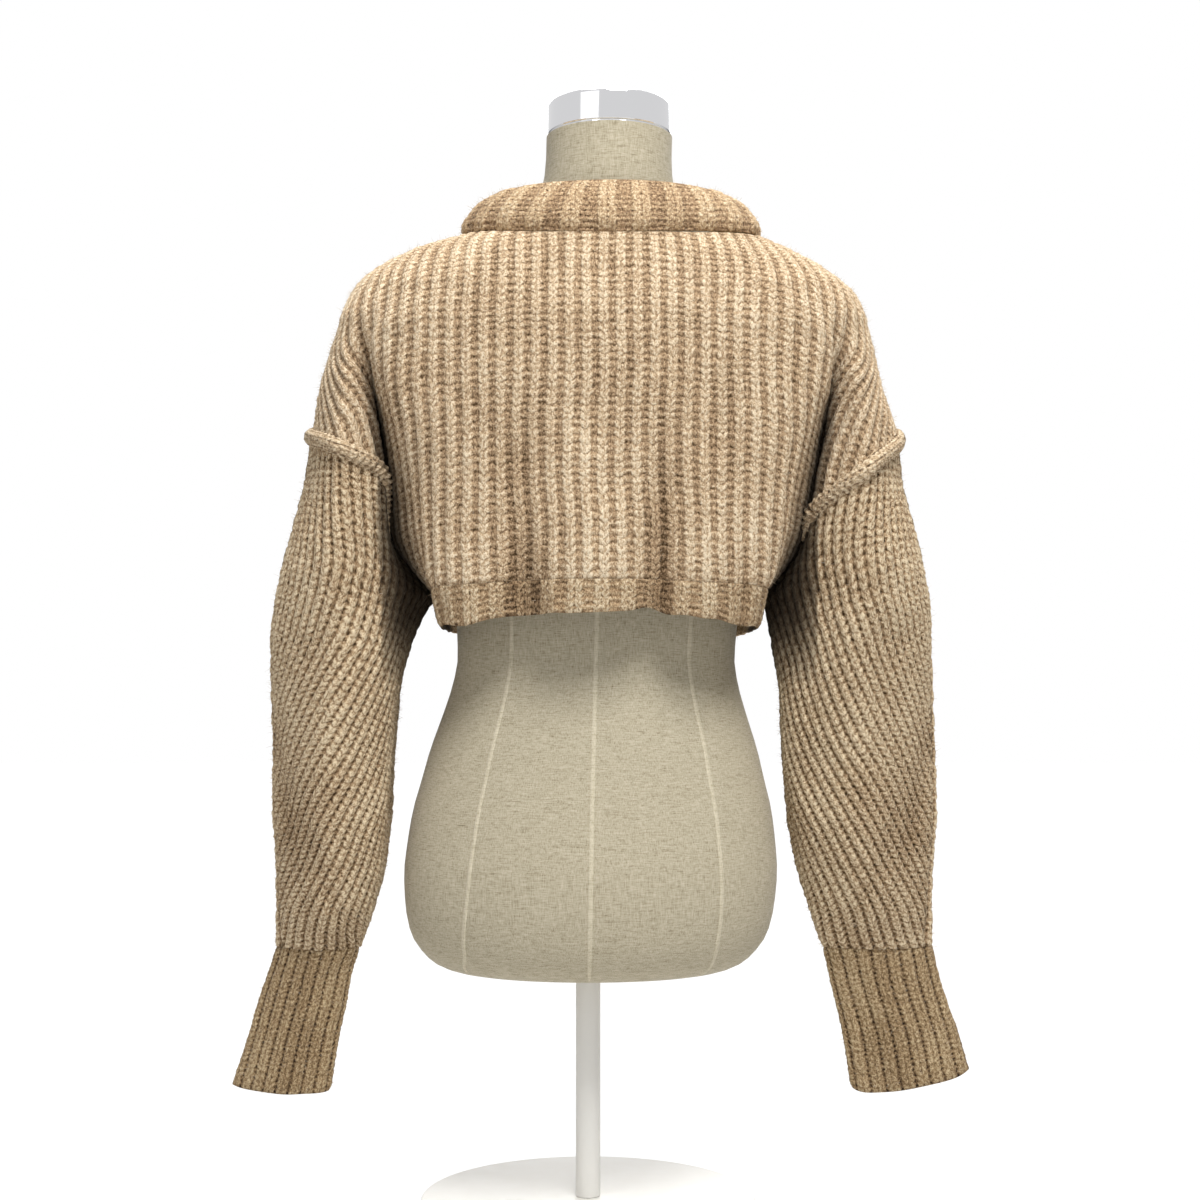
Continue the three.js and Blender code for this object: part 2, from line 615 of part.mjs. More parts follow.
// ---------- finishes ----------
const wool = new THREE.MeshStandardMaterial({ color: '#b89f7c', roughness: 0.95, metalness: 0 });
const woolRib = new THREE.MeshStandardMaterial({ color: '#ad9470', roughness: 0.95, metalness: 0 });
const linen = new THREE.MeshStandardMaterial({ color: '#bdb49f', roughness: 0.85, metalness: 0 });
const polished = new THREE.MeshStandardMaterial({ color: '#d8d8da', roughness: 0.12, metalness: 1 });
const paintedSteel = new THREE.MeshStandardMaterial({ color: '#e9e7e2', roughness: 0.5, metalness: 0.1 });

// ---------- assembly ----------
const sweater = new THREE.Group();
sweater.add(bodyPanel('back_panel', 'back', wool));
sweater.add(bodyPanel('front_panel', 'front', wool));
sweater.add(hemBand('hem_band_back', 'back', woolRib));
sweater.add(hemBand('hem_band_front', 'front', woolRib));
for (const side of ['left', 'right']) {
  sweater.add(sleeve(`sleeve_${side}`, side, wool));
  sweater.add(armholeWelt(`armhole_welt_${side}`, side, woolRib));
  sweater.add(cuff(`cuff_${side}`, side, woolRib));
}
sweater.add(neckBand('neck_band', woolRib));

const dressForm = new THREE.Group();
dressForm.add(formTorso('form_torso', linen));
dressForm.add(turned('neck_cap', [
  [0, CAP.bottom], [CAP.radius, CAP.bottom], [CAP.radius, CAP.top - CAP.edge],
  [CAP.radius - CAP.edge * 0.3, CAP.top - CAP.edge * 0.3], [CAP.radius - CAP.edge, CAP.top], [0, CAP.top],
], 48, formAxis(CAP.bottom), polished));

const standX = formAxis(FORM_BOTTOM);
const stand = new THREE.Group();
stand.add(turned('stand_pole', [
  [0, BASE.height + SEAM_GAP], [POLE_RADIUS, BASE.height + SEAM_GAP],
  [POLE_RADIUS, FORM_BOTTOM - SEAM_GAP], [0, FORM_BOTTOM - SEAM_GAP],
], 24, standX, paintedSteel));
stand.add(turned('stand_base', [
  [0, 0], [BASE.radius - BASE.edge, 0], [BASE.radius, BASE.edge],
  [BASE.radius, BASE.height - BASE.edge], [BASE.radius - BASE.edge, BASE.height], [0, BASE.height],
], 64, standX, paintedSteel));

const part = new THREE.Group();
part.add(sweater, dressForm, stand);

export default part;
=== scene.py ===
"""A cropped half-cardigan sweater on a limbless dress form, finished for rendering.

Every knitted piece is a thin closed shell on the garment's own sections, with its ribs and
stitches raised on the outer side. Sizes are in millimetres until a mesh is made, in metres.
"""

import logging
import math
from dataclasses import dataclass, field
from enum import Enum
from typing import Sequence

import bmesh
import bpy
import numpy as np
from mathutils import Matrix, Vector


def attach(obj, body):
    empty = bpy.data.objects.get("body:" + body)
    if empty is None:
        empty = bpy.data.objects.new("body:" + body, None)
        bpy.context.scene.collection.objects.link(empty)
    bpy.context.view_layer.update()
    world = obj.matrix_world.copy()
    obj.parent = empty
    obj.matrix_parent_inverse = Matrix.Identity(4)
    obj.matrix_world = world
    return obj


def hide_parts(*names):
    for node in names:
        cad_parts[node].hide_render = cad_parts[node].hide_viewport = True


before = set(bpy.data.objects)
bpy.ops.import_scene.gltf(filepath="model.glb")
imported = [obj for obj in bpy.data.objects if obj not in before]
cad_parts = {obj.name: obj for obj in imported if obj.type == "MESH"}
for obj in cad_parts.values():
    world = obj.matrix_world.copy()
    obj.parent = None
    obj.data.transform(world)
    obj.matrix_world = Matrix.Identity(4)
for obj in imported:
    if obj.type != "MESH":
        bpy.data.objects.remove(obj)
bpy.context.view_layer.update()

log = logging.getLogger("sweater")
MM = 0.001

# ---------- driving sizes, in millimetres, as in the solids ----------
# One line differs: the left sleeve's innermost line is drawn up to 10 mm further out near the underarm.
WALL = 4.5
SHELL = WALL * 0.6  # a drawn piece is thinner than its solid, because its ribs stand out of it
HEM_EDGE, UNDERARM, ARMHOLE_TOP, CUFF_TOP = 517.0, 549.0, 692.0, 233.0
HEM_BACK_EDGE, HEM_BACK_TOP = 528.0, 556.0
NECK_EDGE, NECK_BACK, NECK_FRONT = 868.0, 854.0, 826.0
FRONT_FULLNESS = 1.16

SECTION_COLUMNS = ("height", "mid", "ridge_x", "ridge_y", "valley_x", "valley_y",
                   "fold_x", "fold_y", "near_x", "near_y", "outer_x")
LEFT_SECTIONS = (
    (512, 118, 137, 80, 141, 0, 190, 48, 238, 78, 297),
    (549, 119, 146, 86, 151, 0, 190, 51, 237, 81, 291),
    (565, 120, 149, 88, 165, 10, 191, 53, 236, 83, 288),
    (600, 120, 152, 90, 190, 21, 193, 54, 234, 84, 279),
    (650, 120, 157, 92, 196, 29, 193, 55, 230, 82, 266),
    (692, 119, 171, 93, 198, 38, 198, 58, 228, 79, 260),
    (733, 118, 185, 92, 200, 57, 204, 63, 226, 74, 253),
    (760, 116, 190, 90, 201, 72, 209, 68, 226, 62, 245),
    (787, 113, 170, 97, 190, 84, 208, 71, 226, 50, 236),
    (814, 107, 140, 97, 172, 84, 196, 66, 216, 42, 226),
    (827, 103, 130, 93, 165, 79, 189, 60, 208, 35, 218),
    (841, 99, 118, 87, 150, 72, 174, 53, 191, 29, 200),
    (854.5, 94, 99, 81, 129, 65, 152, 46, 167, 24, 175),
    (868, 88, 75, 71, 97, 57, 113, 40, 123.5, 20.5, 127),
)
RIGHT_SECTIONS = (
    (512, 118, 130, 80, 134, 0, 183, 48, 236, 78, 294),
    (549, 119, 141, 86, 144, 0, 184, 51, 235, 81, 290),
    (565, 120, 145, 88, 157, 9, 184, 53, 235, 83, 287),
    (600, 120, 152, 90, 180, 21, 184, 54, 232, 84, 280),
    (650, 120, 161, 92, 190, 30, 189, 55, 230, 82, 267),
    (692, 119, 173, 93, 194, 40, 197, 58, 229, 79, 263),
    (733, 118, 185, 92, 198, 59, 202, 63, 225, 74, 250),
    (760, 116, 187, 91, 198, 74, 207, 68, 225, 62, 243),
    (787, 113, 170, 97, 190, 84, 208, 71, 226, 50, 236),
    (814, 107, 140, 97, 172, 84, 197, 66, 217, 42, 227),
    (827, 103, 128, 93, 162, 79, 186, 60, 204, 35, 214),
    (841, 99, 116, 87, 147, 72, 169, 53, 185, 29, 193.5),
    (854.5, 94, 98, 81, 127, 65, 148, 46, 163, 24, 169),
    (868, 88, 83, 71, 107, 57, 126, 40, 137, 20.5, 141),
)
SLEEVE_COLUMNS = ("height", "inner", "fold_x", "fold_y", "near_x", "near_y", "outer_x")
LEFT_SLEEVE = (
    (104, 246, 266, 15, 290, 23, 334), (152, 238, 257, 15, 279, 24, 319),
    (179, 232, 250, 16, 272, 25, 311), (206, 227, 244, 17, 264, 26, 302),
    (233, 219, 228, 18, 256, 29, 294), (247, 214, 221, 22, 252, 39, 292.5),
    (274, 205, 212, 29, 249, 53, 293), (314, 196, 204, 35, 246, 62, 293.5),
    (355, 193, 200, 38, 245, 70, 295), (409, 190, 197, 40, 243, 73, 296),
    (454, 186, 193, 42, 240, 76, 297.5), (503, 174, 191, 47, 238, 77, 297.5),
    (535, 160, 190.5, 50, 238, 80, 293.5),
)
RIGHT_SLEEVE = (
    (108, 224, 246, 12, 276, 19, 330), (152, 217, 238, 12, 268, 20, 320),
    (179, 211, 232, 13, 261, 21, 311), (206, 204, 222, 14, 253, 22, 302),
    (233, 198, 208, 15, 248, 24, 297), (247, 193, 203, 18, 245, 30, 295.5),
    (274, 184, 197, 24, 242, 43, 295), (314, 173, 188, 31, 238, 53, 296.5),
    (355, 166, 182, 36, 235, 60, 298), (409, 162, 180, 38, 233, 63, 298),
    (454, 160.5, 178, 40, 232, 68, 296), (503, 153, 181, 46, 232, 75, 293.5),
    (535, 147, 183, 50, 236, 80, 292),
)
# Where the armhole seam crosses each section: its run, its place and its height.
LEFT_SEAM = (
    (0, 0.55, 549), (0.4, 0.55, 608), (0.5, 0.62, 632), (0.62, 0.7, 653), (0.8, 0.85, 673), (1, 1, 692),
)
RIGHT_SEAM = (
    (0, 0.55, 549), (0.3, 0.55, 590), (0.48, 0.62, 607), (0.6, 0.7, 621), (0.8, 0.85, 656), (1, 1, 692),
)

# The places of a section's knots, and how far out the second one stands as a share of the ridge.
SECOND, RIDGE, VALLEY, FOLD, NEAR, OUTER = 0.2, 0.4, 0.55, 0.7, 0.85, 1.0
SECOND_REACH = 0.52
LATTICE = 256  # random values repeat after this many cells


class Side(Enum):
    """The wearer's side of a piece."""

    LEFT = "left"
    RIGHT = "right"

    @property
    def sign(self) -> int:
        """Which way the side lies.

        Returns:
            -1 on the left, 1 on the right.
        """
        return -1 if self is Side.LEFT else 1


class Face(Enum):
    """The back or the front of the body."""

    BACK = "back"
    FRONT = "front"


class Knit(Enum):
    """How a piece is knitted."""

    HALF_CARDIGAN = "half cardigan"
    TWO_BY_TWO = "two by two"


# ---------- small numeric helpers ----------
def smooth(value: np.ndarray | float) -> np.ndarray:
    """Ease a value from 0 to 1.

    Args:
        value: Numbers, clipped to the range from 0 to 1.

    Returns:
        The eased numbers.
    """
    inside = np.clip(value, 0.0, 1.0)
    return inside * inside * (3 - 2 * inside)


def mix(start: np.ndarray | float, end: np.ndarray | float, share: np.ndarray | float) -> np.ndarray:
    """Go part of the way between two values.

    Args:
        start: The first value.
        end: The second value.
        share: How much of the way to go.

    Returns:
        The value reached.
    """
    return start + (end - start) * share


def unit(vectors: np.ndarray) -> np.ndarray:
    """Scale vectors to length 1.

    Args:
        vectors: Vectors along the last axis.

    Returns:
        The scaled vectors.
    """
    return vectors / np.maximum(np.linalg.norm(vectors, axis=-1, keepdims=True), 1e-9)


def hermite(span: np.ndarray, t: np.ndarray, ends: tuple, slopes: tuple) -> np.ndarray:
    """Follow a cubic between two values with given slopes.

    Args:
        span: The length of the stretch.
        t: The share of the stretch, from 0 to 1.
        ends: The values at its start and end.
        slopes: The slopes at its start and end.

    Returns:
        The values at t.
    """
    rest = 1 - t
    return ((1 + 2 * t) * rest * rest * ends[0] + t * rest * rest * span * slopes[0]
            + t * t * (3 - 2 * t) * ends[1] - t * t * rest * span * slopes[1])


class Curve:
    """A smooth curve through table rows that never overshoots."""

    def __init__(self, knots: Sequence[float], values: Sequence[float]) -> None:
        """Work out the slope at each knot.

        Args:
            knots: Where the values are given, in rising order.
            values: The values there.
        """
        self.knots = np.asarray(knots, float)
        self.values = np.asarray(values, float)
        rates = np.diff(self.values) / np.diff(self.knots)
        self.slopes = np.zeros(len(self.knots))
        self.slopes[0], self.slopes[-1] = rates[0], rates[-1]
        for i in range(1, len(rates)):
            before, after = rates[i - 1], rates[i]
            if before * after > 0:
                self.slopes[i] = 2 * before * after / (before + after)

    def __call__(self, at: np.ndarray | float) -> np.ndarray:
        """The curve's values.

        Args:
            at: Where to read the curve.

        Returns:
            An array of the same shape.
        """
        at = np.asarray(at, float)
        i = np.clip(np.searchsorted(self.knots, at) - 1, 0, len(self.knots) - 2)
        span = self.knots[i + 1] - self.knots[i]
        t = np.clip((at - self.knots[i]) / span, 0, 1)
        ends = (self.values[i], self.values[i + 1])
        return hermite(span, t, ends, (self.slopes[i], self.slopes[i + 1]))


def soft_noise(u: np.ndarray, v: np.ndarray, seed: int) -> np.ndarray:
    """Give smooth random values from -1 to 1, one hump for each unit of u and v.

    Args:
        u: The first coordinate.
        v: The second coordinate.
        seed: Which noise.

    Returns:
        The values, shaped as u.
    """
    lattice = np.random.default_rng(seed).uniform(-1, 1, (LATTICE + 1, LATTICE + 1))
    cell_u, cell_v = np.floor(u).astype(int), np.floor(v).astype(int)
    share_u, share_v = smooth(u - cell_u), smooth(v - cell_v)
    low_u, high_u = cell_u % LATTICE, (cell_u + 1) % LATTICE
    low_v, high_v = cell_v % LATTICE, (cell_v + 1) % LATTICE
    a, b = lattice[low_u, low_v], lattice[high_u, low_v]
    c, d = lattice[low_u, high_v], lattice[high_u, high_v]
    return mix(mix(a, b, share_u), mix(c, d, share_u), share_v)


# ---------- the garment's shape ----------
class GarmentShape:
    """The outer surface of the worn sweater, as sections at each height."""

    def __init__(self) -> None:
        """Read the tables into curves."""
        self.body: dict[Side, dict[str, Curve]] = {}
        self.sleeve: dict[Side, dict[str, Curve]] = {}
        self.seam: dict[Side, tuple[Curve, Curve]] = {}
        tables = {Side.LEFT: (LEFT_SECTIONS, LEFT_SLEEVE, LEFT_SEAM),
                  Side.RIGHT: (RIGHT_SECTIONS, RIGHT_SLEEVE, RIGHT_SEAM)}
        for side, (sections, sleeve, seam) in tables.items():
            columns = dict(zip(SECTION_COLUMNS, zip(*sections)))
            self.body[side] = {name: Curve(columns["height"], columns[name]) for name in SECTION_COLUMNS[1:]}
            upper = dict(zip(SECTION_COLUMNS, zip(*[row for row in sections if row[0] >= UNDERARM])))
            lower = dict(zip(SLEEVE_COLUMNS, zip(*sleeve)))
            heights = lower["height"] + upper["height"]
            self.sleeve[side] = {}
            for name in SLEEVE_COLUMNS[1:]:
                above = upper["valley_x" if name == "inner" else name]
                self.sleeve[side][name] = Curve(heights, lower[name] + above)
            runs, places, seam_heights = zip(*seam)
            self.seam[side] = (Curve(runs, places), Curve(runs, seam_heights))

    def point(self, side: Side, on_sleeve: bool, place: np.ndarray, height: np.ndarray) -> np.ndarray:
        """Points on the outer surface.

        Args:
            side: The wearer's side.
            on_sleeve: Whether the sleeve's surface is meant, or the body's.
            place: 0 at the middle of the back, 1 at the outermost line, 2 at the middle of the front.
            height: The section's height.

        Returns:
            An array of x, y, z, one row for each place.
        """
        place, height = np.broadcast_arrays(np.asarray(place, float), np.asarray(height, float))
        front = place > 1
        along = np.where(front, 2 - place, place)
        depth = np.where(front, FRONT_FULLNESS, 1.0)
        dome = mix(1.0, depth, smooth((height - 760) / 90))
        body = {name: curve(height) for name, curve in self.body[side].items()}
        lobe = {name: curve(height) for name, curve in self.sleeve[side].items()} if on_sleeve else body
        valley_x = body["valley_x"]
        if on_sleeve:
            valley_x = np.where(height < UNDERARM, lobe["inner"], valley_x)
        valley_y = np.where(height < UNDERARM, 0.0, body["valley_y"])
        knots = (
            (0.0, np.zeros_like(height), body["mid"] * depth),
            (SECOND, body["ridge_x"] * SECOND_REACH, mix(body["ridge_y"], body["mid"], 0.86) * depth),
            (RIDGE, body["ridge_x"], body["ridge_y"] * depth),
            (VALLEY, valley_x, valley_y * dome),
            (FOLD, lobe["fold_x"], lobe["fold_y"] * dome),
            (NEAR, lobe["near_x"], lobe["near_y"] * dome),
            (OUTER, lobe["outer_x"], np.zeros_like(height)),
        )
        other = Side.RIGHT if side is Side.LEFT else Side.LEFT
        middle_rate = (knots[1][1] + self.body[other]["ridge_x"](height) * SECOND_REACH) / (2 * SECOND)
        crease = 1 - smooth((height - 590) / 80)
        upright = 1 - smooth((height - 470) / 80 if on_sleeve else (height - UNDERARM) / 50)
        x, y = np.zeros_like(height), np.zeros_like(height)
        for i in range(len(knots) - 1):
            here, there = knots[i], knots[i + 1]
            span = there[0] - here[0]
            start = self._slope(knots, i, middle_rate, crease, upright, +1)
            end = self._slope(knots, i + 1, middle_rate, crease, upright, -1)
            inside = (along >= here[0]) & (along <= there[0] + 1e-9)
            t = np.clip((along - here[0]) / span, 0, 1)
            x = np.where(inside, hermite(span, t, (here[1], there[1]), (start[0], end[0])), x)
            y = np.where(inside, hermite(span, t, (here[2], there[2]), (start[1], end[1])), y)
        return np.stack([side.sign * x, np.where(front, y, -y), height], axis=-1)

    @staticmethod
    def _slope(knots: tuple, i: int, middle_rate: np.ndarray, crease: np.ndarray,
               upright: np.ndarray, way: int) -> tuple[np.ndarray, np.ndarray]:
        """How fast a section runs past one of its knots.

        Args:
            knots: Place, x and y of each knot.
            i: Which knot.
            middle_rate: The rate of x at the middle plane.
            crease: How sharp the crease is at each height.
            upright: How far the cloth stands straight in the crease.
            way: 1 for the side after the knot, -1 for the side before it.

        Returns:
            The rates of x and y.
        """
        place, x, y = knots[i]
        if i == 0:
            return middle_rate, np.zeros_like(x)
        before = knots[i - 1]
        span_before = place - before[0]
        if i == len(knots) - 1:
            return np.zeros_like(x), -np.abs(before[2]) / span_before * 1.25
        after = knots[i + 1]
        span_after = after[0] - place
        rates = []
        for axis in (1, 2):
            rate_before = (knots[i][axis] - before[axis]) / span_before
            rate_after = (after[axis] - knots[i][axis]) / span_after
            rate = (rate_before * span_after + rate_after * span_before) / (span_before + span_after)
            if place == VALLEY:
                rate = mix(rate, rate_before if way < 0 else rate_after, crease)
            rates.append(rate)
        if place == VALLEY:
            neighbour, span = (before, span_before) if way < 0 else (after, span_after)
            reach = np.hypot(x - neighbour[1], y - neighbour[2])
            rates = [mix(rates[0], 0.0, upright), mix(rates[1], way * reach / span, upright)]
        return rates[0], rates[1]

    def recess(self, points: np.ndarray) -> np.ndarray:
        """How deep each point lies in the fold between body and sleeve.

        Args:
            points: Points on the outer surface.

        Returns:
            0 outside the fold, up to 1 at its bottom.
        """
        # The wool's material darkens by this depth as painted shade.
        x, y, height = np.abs(points[..., 0]), np.abs(points[..., 1]), points[..., 2]
        depth = np.zeros_like(x)
        for side in Side:
            body = self.body[side]
            inside = (np.sign(points[..., 0]) == side.sign) & (x > body["ridge_x"](height) - 12)
            inside &= (x < body["fold_x"](height) + 4) & (height > 470)
            ridge, fold = body["ridge_y"](height), body["fold_y"](height)
            behind_fold = smooth(2.6 * (1 - y / fold))
            off_ridge = smooth(1.7 * (1 - y / ridge))
            near_fold = smooth((x - body["valley_x"](height) + 8) / 16)
            deep = mix(off_ridge, np.maximum(off_ridge, behind_fold), near_fold)
            low = smooth((height - 440) / 90)
            depth = np.where(inside, deep * low * (1 - smooth((height - 670) / 140)), depth)
        return depth


SHAPE = GarmentShape()


# ---------- knitted relief ----------
@dataclass(frozen=True)
class Stitches:
    """The raised stitches of one kind of knitting.

    Attributes:
        knit: Which kind.
        pitch: From one rib to the next.
        course: From one stitch to the next along a rib.
        depth: From the bottom of a furrow to the top of a rib.
        share: How much of the pitch the raised columns take.
        slant: How far the arms of a V rise, in stitches.
        seed: Which unevenness.
    """

    knit: Knit
    pitch: float
    course: float
    depth: float
    share: float
    slant: float
    seed: int

    @property
    def column(self) -> tuple[float, float]:
        """Where a raised column lies, from 0 at a rib's middle to 1 at a furrow's.

        Returns:
            Its middle and its half width.
        """
        if self.knit is Knit.HALF_CARDIGAN:
            return 0.0, self.share
        return self.share / 2, self.share / 2

    def count(self, wale: np.ndarray, course: np.ndarray,
              turns: float = 0.0) -> tuple[np.ndarray, np.ndarray]:
        """Count ribs and stitches, with the small drift of hand work.

        Args:
            wale: The distance across the ribs.
            course: The distance along the ribs.
            turns: The number of ribs round a closed row, where the drift must meet itself.

        Returns:
            The number of ribs and of stitches up to each point.
        """
        place = np.abs(wale - turns * self.pitch / 2)
        ribs = wale / self.pitch + 0.12 * soft_noise(place / 60, course / 45, self.seed)
        rows = course / self.course + 0.35 * soft_noise(place / 31, course / 26, self.seed + 1)
        return ribs, rows

    def relief(self, wale: np.ndarray, course: np.ndarray,
               turns: float = 0.0) -> tuple[np.ndarray, np.ndarray]:
        """How far the yarn stands out at each point.

        Args:
            wale: The distance across the ribs.
            course: The distance along the ribs.
            turns: The number of ribs round a closed row.

        Returns:
            The height over the mean surface, and the same as a share from 0 to 1.
        """
        ribs, rows = self.count(wale, course, turns)
        offset = np.abs(ribs - np.round(ribs)) * 2
        middle, half = self.column
        across = np.abs(offset - middle) / half
        strand = np.abs(np.sin(math.pi * (rows - self.slant * across))) ** 0.7
        column = np.sqrt(np.clip(1.15 - across ** 2, 0, 1)) * (0.74 + 0.26 * strand)
        purl = 0.1 + 0.26 * np.abs(np.sin(math.pi * (rows + 0.5)))
        place = np.abs(wale - turns * self.pitch / 2)
        plump = 1 + 0.2 * soft_noise(place / (self.pitch * 0.5), course / (self.course * 0.8), self.seed + 2)
        share = np.clip(np.maximum(column, purl) * plump, 0, 1.1)
        return (share - 0.6) * self.depth, np.clip(share, 0, 1)


@dataclass(frozen=True)
class Crease:
    """A soft trough or ridge that runs up a piece.

    Attributes:
        across: Its place across the piece at its low end.
        low: The height of its low end.
        high: The height where it has faded out.
        width: How wide it is.
        depth: How far it stands out, or in where negative.
        lean: How far it moves across for each unit of height.
    """

    across: float
    low: float
    high: float
    width: float
    depth: float
    lean: float = 0.0

    def push(self, across: np.ndarray, height: np.ndarray) -> np.ndarray:
        """How far the crease moves each point out.

        Args:
            across: The distance across the piece.
            height: The height.

        Returns:
            The distance out, in millimetres.
        """
        centre = self.across + self.lean * (height - self.low)
        fade = 1 - smooth((height - self.low) / (self.high - self.low))
        start = smooth((height - self.low + 40) / 40)
        return self.depth * fade * start * np.exp(-(((across - centre) / self.width) ** 2))


BACK_CREASES = (
    Crease(-10, 517, 720, 33, 8.0, -0.01), Crease(-68, 517, 700, 17, -14.0, -0.02),
    Crease(47, 517, 730, 12, -13.0, 0.02), Crease(84, 517, 660, 17, 4.5, 0.05),
    Crease(-116, 517, 650, 20, 4.0, -0.1), Crease(-178, 560, 700, 13, -3.0, -0.12),
    Crease(176, 560, 720, 14, -3.5, 0.15), Crease(120, 517, 620, 12, -4.0, 0.08),
    Crease(-40, 517, 600, 5, 3.5, -0.02), Crease(-232, 640, 780, 14, -3.0, -0.1),
    Crease(236, 640, 780, 15, -3.0, 0.1), Crease(10, 640, 800, 20, -3.0, 0.1),
    Crease(-70, 660, 820, 24, -3.0, 0.08), Crease(90, 680, 830, 22, -2.5, -0.1),
)
FRONT_CREASES = (
    Crease(18, 517, 690, 30, 5.5, 0.02), Crease(-44, 517, 650, 14, -9.0, -0.04),
    Crease(74, 517, 670, 13, -8.5, 0.03), Crease(-96, 517, 640, 22, 3.5, -0.08),
    Crease(132, 517, 640, 20, 3.0, 0.08), Crease(-182, 560, 710, 14, -3.5, -0.12),
    Crease(186, 560, 700, 14, -3.0, 0.12),
)


# A sleeve's folds: distance round from its outermost line, middle height, reach, width, depth and lean.
SLEEVE_FOLDS = (
    (38, 330, 70, 14, -3.5, -0.25), (66, 290, 60, 13, -3.0, -0.3), (-44, 350, 80, 15, -3.5, 0.2),
    (24, 420, 60, 13, -2.2, 0.15), (84, 430, 90, 12, -3.0, -0.1), (-80, 300, 60, 13, -3.0, 0.25),
)


# ---------- shells ----------
@dataclass
class Grid:
    """A net of points on a piece's outer side.

    Attributes:
        points: x, y and z, by row and column.
        normals: The outward direction at each point.
        wale: The distance across the ribs.
        course: The distance along the ribs.
        closed: Whether each row joins itself.
        spare: Which points only repeat their neighbour, at a row's end.
        turns: The number of ribs round a closed row.
        push: How far folds move each point out; the colour is painted lighter where it is out and darker
            where it is in.
        from_outer: The distance round from a sleeve's outermost line.
    """

    points: np.ndarray
    normals: np.ndarray
    wale: np.ndarray
    course: np.ndarray
    closed: bool = False
    spare: np.ndarray | None = None
    turns: float = 0.0
    push: np.ndarray | float = 0.0
    from_outer: np.ndarray | None = None


def grid_normals(points: np.ndarray, closed: bool, outward: np.ndarray) -> np.ndarray:
    """The directions square to a net of points.

    Args:
        points: The net.
        closed: Whether its rows join themselves.
        outward: A rough outward direction at each point, which settles the sign.

    Returns:
        A unit vector for each point.
    """
    if closed:
        across = np.roll(points, -1, axis=1) - np.roll(points, 1, axis=1)
    else:
        across = np.gradient(points, axis=1)
    normals = unit(np.cross(across, np.gradient(points, axis=0)))
    if np.mean(np.sum(normals * outward, axis=-1)) < 0:
        normals = -normals
    return normals


def path_length(points: np.ndarray, axis: int) -> np.ndarray:
    """The distance walked along one axis of a net.

    Args:
        points: The net.
        axis: 0 up its columns, 1 along its rows.

    Returns:
        The distance at each point, from 0.
    """
    steps = np.linalg.norm(np.diff(points, axis=axis), axis=-1)
    start = np.zeros_like(np.take(steps, [0], axis=axis))
    return np.concatenate([start, np.cumsum(steps, axis=axis)], axis=axis)


def grid_faces(grid: Grid) -> list[tuple[int, ...]]:
    """The faces of a net, without the ones that have no area.

    Where rows are closed, a further column past the last one stands for the first one.

    Args:
        grid: The net.

    Returns:
        Corner numbers for each face.
    """
    rows, columns = grid.wale.shape
    index = np.arange(rows * columns).reshape(rows, columns)
    if grid.closed:
        index = np.hstack([index, rows * columns + np.arange(rows)[:, None]])
    if grid.spare is not None:
        for column in range(1, columns):
            later = grid.spare[:, column] & (column > columns // 2)
            index[later, column] = index[later, column - 1]
        for column in range(columns - 2, -1, -1):
            earlier = grid.spare[:, column] & (column <= columns // 2)
            index[earlier, column] = index[earlier, column + 1]
    left, right = index[:, :-1], index[:, 1:]
    quads = np.stack([left[:-1], right[:-1], right[1:], left[1:]], axis=-1).reshape(-1, 4)
    faces = []
    for corners in quads.tolist():
        kept = tuple(dict.fromkeys(corners))
        if len(kept) > 2:
            faces.append(kept)
    return faces


def shell(name: str, grid: Grid, relief: np.ndarray, share: np.ndarray,
          counts: tuple[np.ndarray, np.ndarray]) -> bpy.types.Object:
    """Make a closed thin piece of cloth from a net.

    Args:
        name: The piece's name.
        grid: The net of its outer side.
        relief: How far its yarn stands out at each point.
        share: The same as a share of the full height.
        counts: The number of ribs and of stitches up to each point.

    Returns:
        The new object.
    """
    outer = (grid.points + grid.normals * relief[..., None]).reshape(-1, 3) * MM
    inner = (grid.points - grid.normals * SHELL).reshape(-1, 3) * MM
    count, (height, width) = len(outer), grid.wale.shape
    weld = np.concatenate([np.arange(count), np.arange(height) * width])
    flat = np.stack([counts[0].ravel(), counts[1].ravel()], axis=-1)
    flat = np.concatenate([flat, flat[::width] + [grid.turns, 0]])
    faces = grid_faces(grid)
    corner = outer[weld[list(faces[len(faces) // 2])]]
    facing = np.cross(corner[1] - corner[0], corner[2] - corner[0])
    if np.dot(facing, grid.normals.reshape(-1, 3)[weld[faces[len(faces) // 2][0]]]) < 0:
        faces = [tuple(reversed(corners)) for corners in faces]
    welded = [tuple(weld[list(corners)].tolist()) for corners in faces]
    edges = {(a, b) for corners in welded for a, b in zip(corners, corners[1:] + corners[:1])}
    rim = sorted((b, a, a + count, b + count) for a, b in edges if (b, a) not in edges)
    inside = [tuple(c + count for c in reversed(corners)) for corners in welded]
    mesh = bpy.data.meshes.new(name)
    mesh.from_pydata(np.concatenate([outer, inner]).tolist(), [], welded + inside + rim)
    uv = mesh.uv_layers.new(name="knit")
    corners = [c for face in faces for c in face] + [c for face in faces for c in reversed(face)]
    corners += [c % count for face in rim for c in face]
    uv.data.foreach_set("uv", flat[corners].astype(np.float32).ravel())
    attribute = mesh.attributes.new("relief", "FLOAT", "POINT")
    levels = np.concatenate([share.ravel(), np.full(count, 0.5)])
    attribute.data.foreach_set("value", levels.astype(np.float32))
    # The depth in the fold, by which the wool's material paints shade; the inner side carries it too.
    fold_shade = mesh.attributes.new("recess", "FLOAT", "POINT")
    fold_shade.data.foreach_set("value", np.tile(SHAPE.recess(grid.points).ravel(), 2).astype(np.float32))
    obj = bpy.data.objects.new(name, mesh)
    bpy.context.scene.collection.objects.link(obj)
    return tidy(obj)


